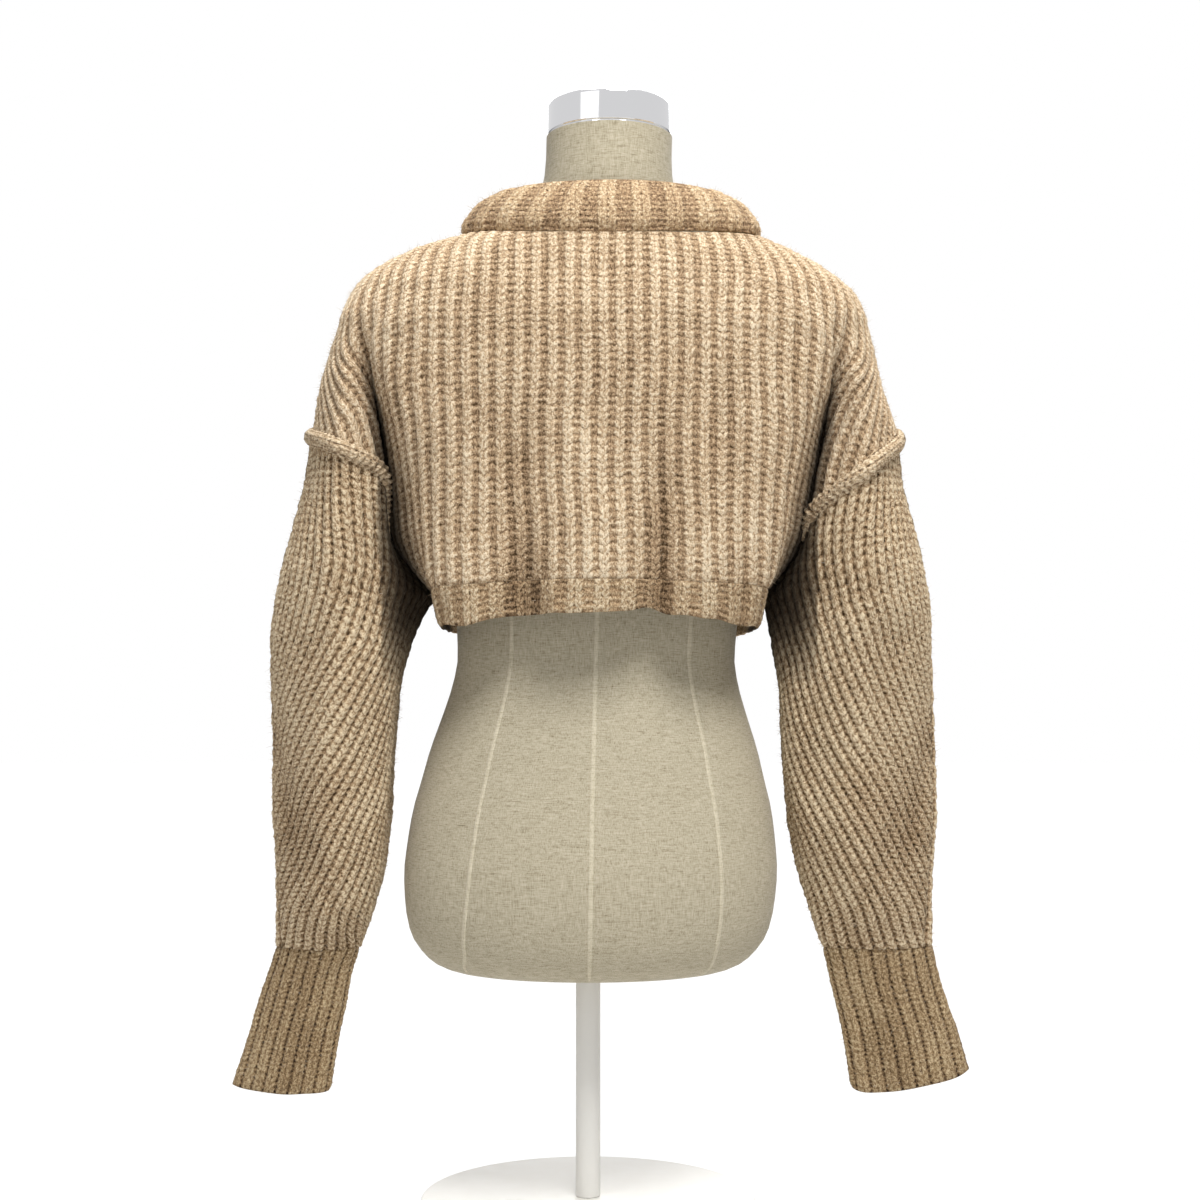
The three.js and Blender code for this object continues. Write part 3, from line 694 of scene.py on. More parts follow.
def tidy(obj: bpy.types.Object) -> bpy.types.Object:
    """Drop loose points and shade an object smooth.

    Args:
        obj: The object.

    Returns:
        The same object.
    """
    work = bmesh.new()
    work.from_mesh(obj.data)
    bmesh.ops.delete(work, geom=[v for v in work.verts if not v.link_faces], context="VERTS")
    work.to_mesh(obj.data)
    work.free()
    obj.data.shade_smooth()
    return obj


def cord(name: str, rings: np.ndarray) -> bpy.types.Object:
    """Make a closed cord from rings of points.

    Args:
        name: The piece's name.
        rings: The points, one ring in each row.

    Returns:
        The new object, its faces pointing out.
    """
    rows, columns = rings.shape[:2]
    blank = np.zeros((rows, columns))
    weld = np.concatenate([np.arange(rows * columns), np.arange(rows) * columns])
    net = grid_faces(Grid(rings, rings, blank, blank, closed=True))
    faces = [tuple(weld[list(corners)].tolist()) for corners in net]
    last = (rows - 1) * columns
    faces += [tuple(range(columns))[::-1], tuple(range(last, last + columns))]
    mesh = bpy.data.meshes.new(name)
    mesh.from_pydata((rings.reshape(-1, 3) * MM).tolist(), [], faces)
    obj = bpy.data.objects.new(name, mesh)
    bpy.context.scene.collection.objects.link(obj)
    work = bmesh.new()
    work.from_mesh(mesh)
    bmesh.ops.recalc_face_normals(work, faces=work.faces)
    work.to_mesh(mesh)
    work.free()
    mesh.shade_smooth()
    return obj


# ---------- materials ----------
def linear(hex_colour: str) -> tuple[float, float, float, float]:
    """Turn a hex colour into linear light.

    Args:
        hex_colour: Such as "#B89F7C".

    Returns:
        Red, green, blue and alpha.
    """
    parts = [int(hex_colour[i:i + 2], 16) / 255 for i in (1, 3, 5)]
    light = [p / 12.92 if p <= 0.04045 else ((p + 0.055) / 1.055) ** 2.4 for p in parts]
    return light[0], light[1], light[2], 1.0


class Graph:
    """The nodes of one material or world."""

    def __init__(self, owner: bpy.types.Material | bpy.types.World) -> None:
        """Start with nothing but an output.

        Args:
            owner: The new material or world.
        """
        owner.use_nodes = True
        self.owner = owner
        self.tree = owner.node_tree
        self.tree.nodes.clear()
        kind = "World" if isinstance(owner, bpy.types.World) else "Material"
        self.output = self.tree.nodes.new("ShaderNodeOutput" + kind)

    def add(self, kind: str, links: dict | None = None, **settings: object) -> bpy.types.Node:
        """Add a node.

        Args:
            kind: The node's type, without "ShaderNode".
            links: Input name or number to an output socket or a plain value.
            settings: The node's own properties.

        Returns:
            The node.
        """
        node = self.tree.nodes.new("ShaderNode" + kind)
        for key, value in settings.items():
            setattr(node, key, value)
        for key, value in (links or {}).items():
            if isinstance(value, bpy.types.NodeSocket):
                self.tree.links.new(value, node.inputs[key])
            else:
                node.inputs[key].default_value = value
        return node

    def ramp(self, factor: bpy.types.NodeSocket, stops: Sequence[tuple[float, str]]) -> bpy.types.NodeSocket:
        """Turn a number into a colour.

        Args:
            factor: The number's socket.
            stops: Positions and hex colours, in rising order.

        Returns:
            The colour's socket.
        """
        node = self.add("ValToRGB", {0: factor})
        band = node.color_ramp
        while len(band.elements) < len(stops):
            band.elements.new(0.5)
        for element, (position, colour) in zip(band.elements, stops):
            element.position = position
            element.color = linear(colour)
        return node.outputs["Color"]

    def math(self, operation: str, first: object, second: object = 0.0,
             third: object = 0.0) -> bpy.types.NodeSocket:
        """Do one sum.

        Args:
            operation: Which sum.
            first: A number or a socket.
            second: The same.
            third: The same.

        Returns:
            The result's socket.
        """
        return self.add("Math", {0: first, 1: second, 2: third}, operation=operation).outputs[0]

    def noise(self, place: bpy.types.NodeSocket, scale: tuple[float, float, float],
              detail: float) -> bpy.types.NodeSocket:
        """Soft noise with its own scale along each axis.

        Args:
            place: Coordinates in metres.
            scale: How many humps to a metre.
            detail: How many finer layers it has.

        Returns:
            The noise's socket, from 0 to 1.
        """
        stretched = self.add("Mapping", {"Vector": place, "Scale": scale, "Location": (0, 0, scale[2])})
        noise = self.add("TexNoise", {
            "Vector": stretched.outputs[0], "Scale": 1.0, "Detail": detail, "Roughness": 0.65,
        })
        return noise.outputs[0]

    def finish(self, shader: bpy.types.Node) -> bpy.types.Material | bpy.types.World:
        """Link the shader to the output.

        Args:
            shader: The last node.

        Returns:
            The material or world.
        """
        self.tree.links.new(shader.outputs[0], self.output.inputs["Surface"])
        return self.owner


@dataclass(frozen=True)
class Wool:
    """Heathered, slightly brushed wool yarn, knitted.

    Attributes:
        name: The material's name.
        stitches: How the piece is knitted.
        furrow: The colour deep between the ribs, painted shade.
        shade: The colour low on a rib, partly painted shade.
        yarn: The colour of most of the yarn.
        light: The colour of the pale fibres, which the ramp also puts on the rib tops as painted highlight.
        contrast: How far the colour follows the yarn's height, darker low as painted shade and paler high as
            painted highlight.
        lift: How far the whole colour is raised.
        yarn_bump: How far a stitch's strands stand out in the shading.
        strand: How deep the gaps between a column's strands are, from 0 to 1.
    """

    name: str
    stitches: Stitches
    furrow: str
    shade: str
    yarn: str
    light: str
    contrast: float = 0.5
    lift: float = 0.18
    yarn_bump: float = 1.5
    strand: float = 0.62

    def material(self) -> bpy.types.Material:
        """Build the node material.

        Returns:
            The material.
        """
        graph = Graph(bpy.data.materials.new(self.name))
        knit = self.stitches
        counts = graph.add("UVMap", uv_map="knit").outputs["UV"]
        relief = graph.add("Attribute", attribute_name="relief").outputs["Fac"]
        metres = (knit.pitch * MM, knit.course * MM, 1)
        size = graph.add("Mapping", {"Vector": counts, "Scale": metres}).outputs[0]
        wobble = graph.noise(size, (330, 330, 1), 2.0)
        sway = graph.noise(size, (250, 250, 7), 2.0)
        split = graph.add("SeparateXYZ", {0: counts})
        ribs = graph.math("MULTIPLY_ADD", wobble, 0.2, split.outputs[0])
        rows = graph.math("MULTIPLY_ADD", sway, 0.55, split.outputs[1])
        stitch = self._stitch(graph, graph.math("SUBTRACT", ribs, 0.1), rows)
        # Wool fibres lie along the yarn, and pale and dark ones were carded together before spinning.
        fibre = graph.noise(size, (1250, 560, 1), 3.0)
        heather = graph.noise(size, (420, 330, 1), 4.0)
        cloud = graph.noise(size, (26, 15, 1), 2.0)
        grain = graph.math("MULTIPLY_ADD", graph.math("SUBTRACT", fibre, 0.5), 1.6, self.lift)
        grain = graph.math("MULTIPLY_ADD", graph.math("SUBTRACT", heather, 0.5), 1.8, grain)
        grain = graph.math("MULTIPLY_ADD", graph.math("SUBTRACT", cloud, 0.5), 0.45, grain)
        # Painted shade and highlight: the stitch height and the relief share make the colour darker in the
        # furrows and paler on the rib tops, over the real heather of the grain.
        level = graph.math("MULTIPLY_ADD", stitch, self.contrast, grain)
        level = graph.math("MULTIPLY_ADD", relief, self.contrast * 0.45, level)
        colour = graph.ramp(level, (
            (0.05, self.furrow), (0.34, self.shade), (0.66, self.yarn), (1.0, self.light),
        ))
        # Painted shade: yarn deep in the fold between body and sleeve is mixed towards a near-black brown,
        # standing in for the shadow the sleeve casts there.
        recess = graph.add("Attribute", attribute_name="recess").outputs["Fac"]
        deep = graph.math("MULTIPLY", recess, 0.94)
        colour = graph.add("Mix", {0: deep, 6: colour, 7: linear("#241A10")}, data_type="RGBA").outputs[2]
        strands = graph.add("Bump", {"Height": stitch, "Strength": 1.0, "Distance": self.yarn_bump * MM})
        fuzz = graph.math("ADD", fibre, heather)
        nap = graph.add("Bump", {"Height": fuzz, "Strength": 0.8, "Distance": 0.9 * MM,
                                 "Normal": strands.outputs[0]})
        # Wool scatters light with no shine, and its brushed fibres catch light at a grazing angle.
        shader = graph.add("BsdfPrincipled", {
            "Base Color": colour, "Roughness": 0.95, "Specular IOR Level": 0.12, "Sheen Weight": 0.08,
            "Sheen Roughness": 0.5, "Sheen Tint": linear("#E8DCC8"), "Normal": nap.outputs[0],
        })
        return graph.finish(shader)

    def _stitch(self, graph: Graph, ribs: bpy.types.NodeSocket,
                rows: bpy.types.NodeSocket) -> bpy.types.NodeSocket:
        """The height of the yarn within each stitch, from 0 to 1.

        Args:
            graph: The material's nodes.
            ribs: The number of ribs up to the point.
            rows: The number of stitches up to it.

        Returns:
            The height's socket.
        """
        middle, half = self.stitches.column
        offset = graph.math("MULTIPLY", graph.math("PINGPONG", ribs, 0.5), 2.0)
        across = graph.math("ABSOLUTE", graph.math("SUBTRACT", offset, middle))
        across = graph.math("DIVIDE", across, half)
        inside = graph.add("MapRange", {0: across, 1: 0.72, 2: 1.08, 3: 1.0, 4: 0.0},
                           interpolation_type="SMOOTHSTEP")
        phase = graph.math("MULTIPLY_ADD", across, -self.stitches.slant, rows)
        strand = graph.math("ABSOLUTE", graph.math("SINE", graph.math("MULTIPLY", phase, math.pi)))
        strand = graph.math("POWER", strand, 0.55)
        groove = graph.add("MapRange", {0: across, 1: 0.0, 2: 0.3, 3: 0.72, 4: 1.0},
                           interpolation_type="SMOOTHSTEP")
        strand = graph.math("MULTIPLY_ADD", strand, self.strand, 1 - self.strand)
        column = graph.math("MULTIPLY", graph.math("MULTIPLY", strand, groove.outputs[0]), inside.outputs[0])
        bar = graph.math("MULTIPLY", graph.math("ADD", rows, 0.5), math.pi)
        bar = graph.math("POWER", graph.math("ABSOLUTE", graph.math("SINE", bar)), 1.6)
        bar = graph.math("MULTIPLY", bar, 0.66)
        outside = graph.math("SUBTRACT", 1.0, inside.outputs[0])
        return graph.math("MULTIPLY_ADD", bar, outside, column)


@dataclass(frozen=True)
class Linen:
    """Unbleached plain-woven linen with slubs.

    Attributes:
        name: The material's name.
        thread: The colour of most threads.
        pale: The colour of pale threads.
        slub: The colour of the thick dark threads.
    """

    name: str
    thread: str
    pale: str
    slub: str

    def material(self) -> bpy.types.Material:
        """Build the node material.

        Returns:
            The material.
        """
        graph = Graph(bpy.data.materials.new(self.name))
        place = graph.add("TexCoord").outputs["Object"]
        # One noise is drawn out sideways for the weft, the other upwards for the warp.
        weft_space = graph.add("Mapping", {"Vector": place, "Scale": (130, 130, 1500)}).outputs[0]
        weft = graph.add("TexNoise", {"Vector": weft_space, "Scale": 1.0, "Detail": 3.0, "Roughness": 0.7})
        warp_space = graph.add("Mapping", {"Vector": place, "Scale": (1500, 1500, 130)}).outputs[0]
        warp = graph.add("TexNoise", {"Vector": warp_space, "Scale": 1.0, "Detail": 3.0, "Roughness": 0.7})
        slub_space = graph.add("Mapping", {"Vector": place, "Scale": (45, 45, 820)}).outputs[0]
        slub = graph.add("TexNoise", {"Vector": slub_space, "Scale": 1.0, "Detail": 1.0})
        cloth = graph.math("ADD", weft.outputs[0], warp.outputs[0])
        level = graph.math("MULTIPLY_ADD", cloth, 1.3, -0.75)
        colour = graph.ramp(level, ((0.1, self.slub), (0.42, self.thread), (0.85, self.pale)))
        marks = graph.add("MapRange", {0: slub.outputs[0], 1: 0.72, 2: 0.8, 3: 0.0, 4: 0.7}).outputs[0]
        slubbed = graph.add("Mix", {0: marks, 6: colour, 7: linear(self.slub)}, data_type="RGBA").outputs[2]
        bump = graph.add("Bump", {"Height": cloth, "Strength": 0.35, "Distance": 0.0004})
        # Dry linen is matte, with a faint bloom of loose fibre at its edges.
        shader = graph.add("BsdfPrincipled", {
            "Base Color": slubbed, "Roughness": 0.88, "Specular IOR Level": 0.25,
            "Sheen Weight": 0.12, "Sheen Roughness": 0.5, "Normal": bump.outputs[0],
        })
        return graph.finish(shader)


@dataclass(frozen=True)
class Fibre:
    """Single pale wool fibres.

    Attributes:
        name: The material's name.
        colour: Their colour.
    """

    name: str
    colour: str

    def material(self) -> bpy.types.Material:
        """Build the node material.

        Returns:
            The material.
        """
        graph = Graph(bpy.data.materials.new(self.name))
        place = graph.add("TexCoord").outputs["Object"]
        tone = graph.noise(place, (400, 400, 400), 1.0)
        colour = graph.ramp(tone, ((0.35, self.colour), (0.7, "#F2E8D6")))
        # A single fibre is nearly clear, so it glows softly against the light.
        shader = graph.add("BsdfPrincipled", {
            "Base Color": colour, "Roughness": 0.8, "Specular IOR Level": 0.2, "Alpha": 0.55,
        })
        return graph.finish(shader)


@dataclass(frozen=True)
class Hard:
    """A smooth hard finish with faint unevenness.

    Attributes:
        name: The material's name.
        colour: Its colour.
        metallic: 1 for bare metal, 0 for paint.
        roughness: How far it blurs reflections.
    """

    name: str
    colour: str
    metallic: float
    roughness: float

    def material(self) -> bpy.types.Material:
        """Build the node material.

        Returns:
            The material.
        """
        graph = Graph(bpy.data.materials.new(self.name))
        place = graph.add("TexCoord").outputs["Object"]
        noise = graph.add("TexNoise", {"Vector": place, "Scale": 60.0, "Detail": 4.0})
        low, high = self.roughness * 0.8, self.roughness * 1.25
        rough = graph.add("MapRange", {0: noise.outputs[0], 1: 0.3, 2: 0.7, 3: low, 4: high}).outputs[0]
        # Polished plating keeps clear reflections, and satin paint only a soft gloss.
        shader = graph.add("BsdfPrincipled", {
            "Base Color": linear(self.colour), "Metallic": self.metallic, "Roughness": rough,
        })
        return graph.finish(shader)


PANEL_KNIT = Stitches(Knit.HALF_CARDIGAN, 14.4, 7.0, 3.5, 0.66, 0.5, 3)
SLEEVE_KNIT = Stitches(Knit.HALF_CARDIGAN, 11.2, 6.8, 4.2, 0.8, 0.42, 11)
HEM_KNIT = Stitches(Knit.TWO_BY_TWO, 22.6, 5.6, 3.0, 0.6, 0.5, 21)
COLLAR_KNIT = Stitches(Knit.TWO_BY_TWO, 24.7, 5.6, 3.0, 0.56, 0.5, 31)
CUFF_KNIT = Stitches(Knit.HALF_CARDIGAN, 13.2, 4.8, 2.6, 0.92, 0.3, 41)
WELT_KNIT = Stitches(Knit.HALF_CARDIGAN, 6.0, 6.4, 1.0, 0.9, 0.5, 51)

# The sweater is one yarn: the sleeve copy, and darker still the cuff copy, are made darker than the body's,
# painted shade for the lower parts.
BODY_WOOL = Wool("body_wool", PANEL_KNIT, "#44331F", "#90765A", "#C2A684", "#F0DFC2", 0.4, 0.25)
SLEEVE_WOOL = Wool("sleeve_wool", SLEEVE_KNIT, "#362819", "#7D6448", "#B39877", "#E6D4B4", 0.52, 0.14)
HEM_WOOL = Wool("hem_wool", HEM_KNIT, "#403020", "#8A7054", "#B89C79", "#E6D4B5", 0.34, 0.28)
COLLAR_WOOL = Wool("collar_wool", COLLAR_KNIT, "#423021", "#92765A", "#C6A984", "#F0DEBE",
                   0.3, 0.27, 1.3, 0.5)
CUFF_WOOL = Wool("cuff_wool", CUFF_KNIT, "#261C12", "#6A543D", "#9A815F", "#CDB996", 0.5, 0.04, 0.9, 0.3)
WELT_WOOL = Wool("welt_wool", WELT_KNIT, "#3C2E22", "#826A52", "#BEA483", "#E8D6B8", 0.42, 0.24)
LINEN = Linen("form_linen", "#A99F87", "#C4BBA5", "#706447")
LINEN_SEAM = Linen("form_seam_linen", "#BEB49B", "#D6CDB7", "#94886C")
FIBRE = Fibre("wool_fibre", "#C9B08C")
PLATING = Hard("cap_plating", "#DADADC", 1.0, 0.07)
PAINT = Hard("stand_paint", "#EDEBE6", 0.0, 0.45)


# ---------- knitted pieces ----------
@dataclass(frozen=True)
class Cut:
    """The flat cloth that a piece was before it was worn.

    Attributes:
        flat: Its greatest width and length, in metres.
        area: Its area, in square metres.
        held: How it hangs.
        rests_on: What it lies on.
    """

    flat: tuple[float, float]
    area: float
    held: str
    rests_on: tuple[str, ...]


@dataclass
class KnittedPiece:
    """A piece of the sweater.

    Attributes:
        name: The piece's name.
        nodes: The solids that it stands for.
        stitches: How it is knitted.
        wool: Its finish.
        slot: The record's material slot; not used.
        cut: Its flat cloth, or nothing for a cord; not used.
        surface: Points and outward directions of its yarn, once it is built.
    """

    name: str
    nodes: tuple[str, ...]
    stitches: Stitches
    wool: Wool
    slot: str
    cut: Cut | None
    surface: tuple[np.ndarray, np.ndarray] | None = field(default=None, init=False)

    def grid(self) -> Grid:
        """The net of the piece's outer side, which each kind of piece has its own way to make.

        Returns:
            The net.
        """
        raise NotImplementedError

    def relief(self, grid: Grid) -> tuple[np.ndarray, np.ndarray]:
        """The raised stitches of the piece.

        Args:
            grid: The piece's net.

        Returns:
            Height in millimetres, and as a share from 0 to 1, raised on folds and lowered in their troughs as
            painted light and shade.
        """
        height, share = self.stitches.relief(grid.wale, grid.course, grid.turns)
        # The share rises where folds stand out and falls in their troughs: painted light on the folds and
        # painted shade in the troughs.
        return height, share + 0.1 * grid.push

    def build(self, materials: dict[str, bpy.types.Material]) -> bpy.types.Object:
        """Args:
            materials: Finished materials by name.

        Returns:
            The new object.
        """
        grid = self.grid()
        height, share = self.relief(grid)
        # The stitches sink a little towards the seam or edge at both ends.
        from_end = np.minimum(grid.course, grid.course[-1:] - grid.course)
        height = mix(-0.5, height, smooth(np.abs(from_end) / WALL))
        self.surface = (grid.points + grid.normals * height[..., None], grid.normals)
        counts = self.stitches.count(grid.wale, grid.course, grid.turns)
        obj = shell(self.name, grid, height, share, counts)
        obj.data.materials.append(materials[self.wool.name])
        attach(obj, "root")
        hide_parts(*self.nodes)
        log.info("%s: %d faces", self.name, len(obj.data.polygons))
        return obj


DENSE = 260  # points in each half row, before it is divided evenly


def even_points(line: np.ndarray, count: int) -> np.ndarray:
    """Divide a line of points into even steps.

    Args:
        line: The points.
        count: How many points to put along it, with both ends.

    Returns:
        The new points.
    """
    walked = path_length(line[None], 1)[0]
    even = np.linspace(0, walked[-1], count)
    return np.stack([np.interp(even, walked, line[:, axis]) for axis in range(3)], axis=-1)


def even_rows(rows: np.ndarray, normals: np.ndarray,
              step: float) -> tuple[np.ndarray, np.ndarray, np.ndarray, np.ndarray]:
    """Divide rows into even steps counted from their middle.

    Args:
        rows: Points by row, the middle one at the middle of the piece.
        normals: The outward directions there.
        step: The distance between columns.

    Returns:
        Points, directions, the distance from the middle, and which points only repeat a row's end.
    """
    walked = path_length(rows, 1)
    walked -= walked[:, rows.shape[1] // 2][:, None]
    low, high = walked[:, 0], walked[:, -1]
    columns = np.arange(math.floor(low.min() / step), math.ceil(high.max() / step) + 1) * step
    wale = np.clip(columns[None, :], low[:, None], high[:, None])
    points = np.empty(wale.shape + (3,))
    directions = np.empty_like(points)
    for i in range(len(rows)):
        for axis in range(3):
            points[i, :, axis] = np.interp(wale[i], walked[i], rows[i, :, axis])
            directions[i, :, axis] = np.interp(wale[i], walked[i], normals[i, :, axis])
    after = (columns[None, :] - step >= high[:, None])
    before = (columns[None, :] + step <= low[:, None])
    return points, unit(directions), wale, after | before


@dataclass
class BodyPiece(KnittedPiece):
    """A part of the back or front, between the hem and the neck.

    Attributes:
        face: Which face of the body.
        creases: Its soft troughs and ridges.
        step: The distance between columns of its net.
    """

    face: Face = Face.BACK
    creases: tuple[Crease, ...] = ()
    step: float = 2.0

    def row(self, left: tuple[float, float], right: tuple[float, float], middle: float) -> np.ndarray:
        """The points of one row, from the left edge to the right one.

        Args:
            left: The place and height of the left edge.
            right: The same on the right.
            middle: The height at the middle.

        Returns:
            An array of points.
        """
        share = np.linspace(0, 1, DENSE)
        shared_height = (left[1] + right[1]) / 2
        halves = []
        for side, (end, height) in ((Side.LEFT, left), (Side.RIGHT, right)):
            along = share * end
            place = along if self.face is Face.BACK else 2 - along
            section = mix(shared_height, height, smooth(share * 1.6))
            points = SHAPE.point(side, False, place, section)
            points[:, 2] = height + (middle - height) * (1 - smooth(share))
            halves.append(points)
        return np.concatenate([halves[0][:0:-1], halves[1]])

    def row_ends(self) -> list[tuple[tuple[float, float], tuple[float, float], float]]:
        """Where each row starts, ends and lies at its middle, from low to high.

        Returns:
            The left place and height, the right ones, and the middle's height, for each row.
        """
        raise NotImplementedError

    def grid(self) -> Grid:
        """The net of the piece, folded where its creases are.

        Returns:
            The net.
        """
        rows = np.array([self.row(*ends) for ends in self.row_ends()])
        outward = np.zeros_like(rows)
        outward[..., 1] = -1 if self.face is Face.BACK else 1
        normals = grid_normals(rows, False, outward)
        points, normals, wale, spare = even_rows(rows, normals, self.step)
        push = sum(crease.push(wale, points[..., 2]) for crease in self.creases)
        edge = np.minimum(wale - wale.min(1, keepdims=True), wale.max(1, keepdims=True) - wale)
        unrest = 1.1 * soft_noise(wale / 52, points[..., 2] / 64, self.stitches.seed + 7)
        push = (push + unrest) * smooth(edge / 25)
        points = points + normals * push[..., None]
        course = path_length(points, 0)
        return Grid(points, normals, wale, course, spare=spare, push=push)


@dataclass
class Panel(BodyPiece):
    """The back or the front, from its hem band to the neck.

    Attributes:
        armhole_rows: The number of rows beside the armholes.
        shoulder_rows: The number of rows over the shoulders.
    """

    armhole_rows: int = 70
    shoulder_rows: int = 90

    def row_ends(self) -> list[tuple[tuple[float, float], tuple[float, float], float]]:
        """Rows along the armholes, then over the shoulders.

        Returns:
            The left place and height, the right ones, and the middle's height, for each row.
        """
        band_top = HEM_BACK_TOP if self.face is Face.BACK else HEM_BACK_TOP - 2
        neck_middle = NECK_BACK if self.face is Face.BACK else NECK_FRONT
        ends = []
        for run in np.linspace(0, 1, self.armhole_rows):
            left, right = [tuple(float(curve(run)) for curve in SHAPE.seam[side]) for side in Side]
            risen = ((left[1] + right[1]) / 2 - UNDERARM) / (ARMHOLE_TOP - UNDERARM)
            ends.append((left, right, mix(band_top, ARMHOLE_TOP, risen)))
        for share in np.linspace(0, 1, self.shoulder_rows)[1:]:
            height = mix(ARMHOLE_TOP, NECK_EDGE, 1 - (1 - share) ** 1.15)
            rise = (height - ARMHOLE_TOP) / (NECK_EDGE - ARMHOLE_TOP)
            middle = height + (neck_middle - NECK_EDGE) * rise ** 1.6
            ends.append(((OUTER, height), (OUTER, height), middle))
        return ends


@dataclass
class HemBand(BodyPiece):
    """The rib below a panel.

    Attributes:
        rows: The number of rows.
    """

    rows: int = 20

    def row_ends(self) -> list[tuple[tuple[float, float], tuple[float, float], float]]:
        """Rows between the hem's edge and the panel.

        Returns:
            The left place and height, the right ones, and the middle's height, for each row.
        """
        low = HEM_BACK_EDGE - (0 if self.face is Face.BACK else 6)
        high = HEM_BACK_TOP - (0 if self.face is Face.BACK else 2)
        ends = []
        for share in np.linspace(0, 1, self.rows):
            height = mix(HEM_EDGE, UNDERARM, share)
            ends.append(((VALLEY, height), (VALLEY, height), mix(low, high, share)))
        return ends

    def grid(self) -> Grid:
        """The band's net, with its edge slightly uneven.

        Returns:
            The net.
        """
        grid = super().grid()
        across = grid.points[..., 0]
        low_share = 1 - smooth(grid.course / 30)
        wave = 4.5 * np.exp(-(((across - 36) / 13) ** 2)) - 4 * np.exp(-(((np.abs(across) - 118) / 16) ** 2))
        ripple = 0.8 * soft_noise(grid.wale / 14, np.zeros_like(across), self.stitches.seed + 9)
        grid.points[..., 2] += low_share * (wave + ripple)
        return grid


@dataclass
class Sleeve(KnittedPiece):
    """A wide sleeve between the armhole and its cuff.

    Attributes:
        side: The wearer's side.
        columns: The number of columns round it.
        rows: The number of rows.
        strip: The width of the plain strip that the leaning ribs end at.
        lean_height: The height below which the ribs lean outwards.
        lean: How far they lean for each unit of height.
        easing: The height over which the lean sets in.
    """

    side: Side = Side.LEFT
    columns: int = 232
    rows: int = 168
    strip: float = 15.0
    lean_height: float = 590.0
    lean: float = 0.74
    easing: float = 60.0

    def cells(self, run: np.ndarray, front: np.ndarray, share: np.ndarray) -> np.ndarray:
        """Points on the sleeve.

        Args:
            run: The line's run along the armhole.
            front: Whether the line is on the front.
            share: 0 at the cuff, 1 at the armhole.

        Returns:
            An array of points.
        """
        top_place, top_height = (curve(run) for curve in SHAPE.seam[self.side])
        place = mix(mix(VALLEY, OUTER, run), top_place, smooth(share))
        height = mix(CUFF_TOP, top_height, share)
        return SHAPE.point(self.side, True, np.where(front, 2 - place, place), height)

    def grid(self) -> Grid:
        """The sleeve's net, with its ribs' own directions.

        Returns:
            The net.
        """
        dense = np.linspace(0, 2, 1201)
        middle = self.cells(np.where(dense > 1, 2 - dense, dense), dense > 1, np.full_like(dense, 0.7))
        walked = path_length(middle[None], 1)[0]
        line = np.interp(np.linspace(0, walked[-1], self.columns), walked, dense)
        share, line = np.meshgrid(np.linspace(0, 1, self.rows), line, indexing="ij")
        points = self.cells(np.where(line > 1, 2 - line, line), line > 1, share)
        centre = points.mean(axis=1, keepdims=True)
        normals = grid_normals(points, False, points - centre)
        around = path_length(points, 1)
        outermost = np.argmin(np.abs(line[0] - 1))
        from_outer = around - around[:, outermost][:, None]
        height = points[..., 2]
        sway = 1.6 * soft_noise(around / 46, height / 70, self.stitches.seed + 5)
        sway += self.folds(from_outer, height)
        edge = np.minimum(around, around[:, -1:] - around)
        points = points + normals * (sway * smooth(edge / 20))[..., None]
        outer_x = SHAPE.sleeve[self.side]["outer_x"](height)
        below = np.clip(self.lean_height - height, 0, None)
        lean = self.lean * (np.sqrt(below ** 2 + self.easing ** 2) - self.easing)
        slope = self.lean * below / np.sqrt(below ** 2 + self.easing ** 2)
        wale = np.abs(from_outer) - (outer_x - 297) + lean
        wale = np.where(np.abs(from_outer) < self.strip, np.abs(from_outer) + self.stitches.pitch / 2, wale)
        beyond = np.clip(np.abs(from_outer) - self.strip, 0, None)
        course = path_length(points, 0) + 0.42 * self.lean * beyond * (1 - smooth((height - 420) / 230))
        # The sleeve's sway and folds are passed on 1.6 times over as push, so the painted light and shade on
        # its folds are stronger.
        return Grid(points, normals, wale, course, push=sway * 1.6, from_outer=from_outer)

    def folds(self, from_outer: np.ndarray, height: np.ndarray) -> np.ndarray:
        """The sleeve's own soft folds.

        Args:
            from_outer: The distance round from the outermost line.
            height: The height.

        Returns:
            How far each point moves out.
        """
        total = np.zeros_like(height)
        for across, mid, reach, width, depth, lean in SLEEVE_FOLDS:
            centre = across + lean * (height - mid)
            total += depth * np.exp(-(((from_outer - centre) / width) ** 2) - ((height - mid) / reach) ** 2)
        return total

    def relief(self, grid: Grid) -> tuple[np.ndarray, np.ndarray]:
        """The sleeve's stitches, with a groove where the leaning ribs end.

        Args:
            grid: The sleeve's net.

        Returns:
            Height in millimetres, and as a share from 0 to 1.
        """
        height, share = super().relief(grid)
        groove = np.exp(-(((np.abs(grid.from_outer) - self.strip) / 1.6) ** 2))
        low = 1 - smooth((grid.points[..., 2] - 440) / 120)
        # The groove is cut into the yarn, and it is also darkened in the share as painted shade.
        return height - 1.6 * groove * low, share - 0.55 * groove * low


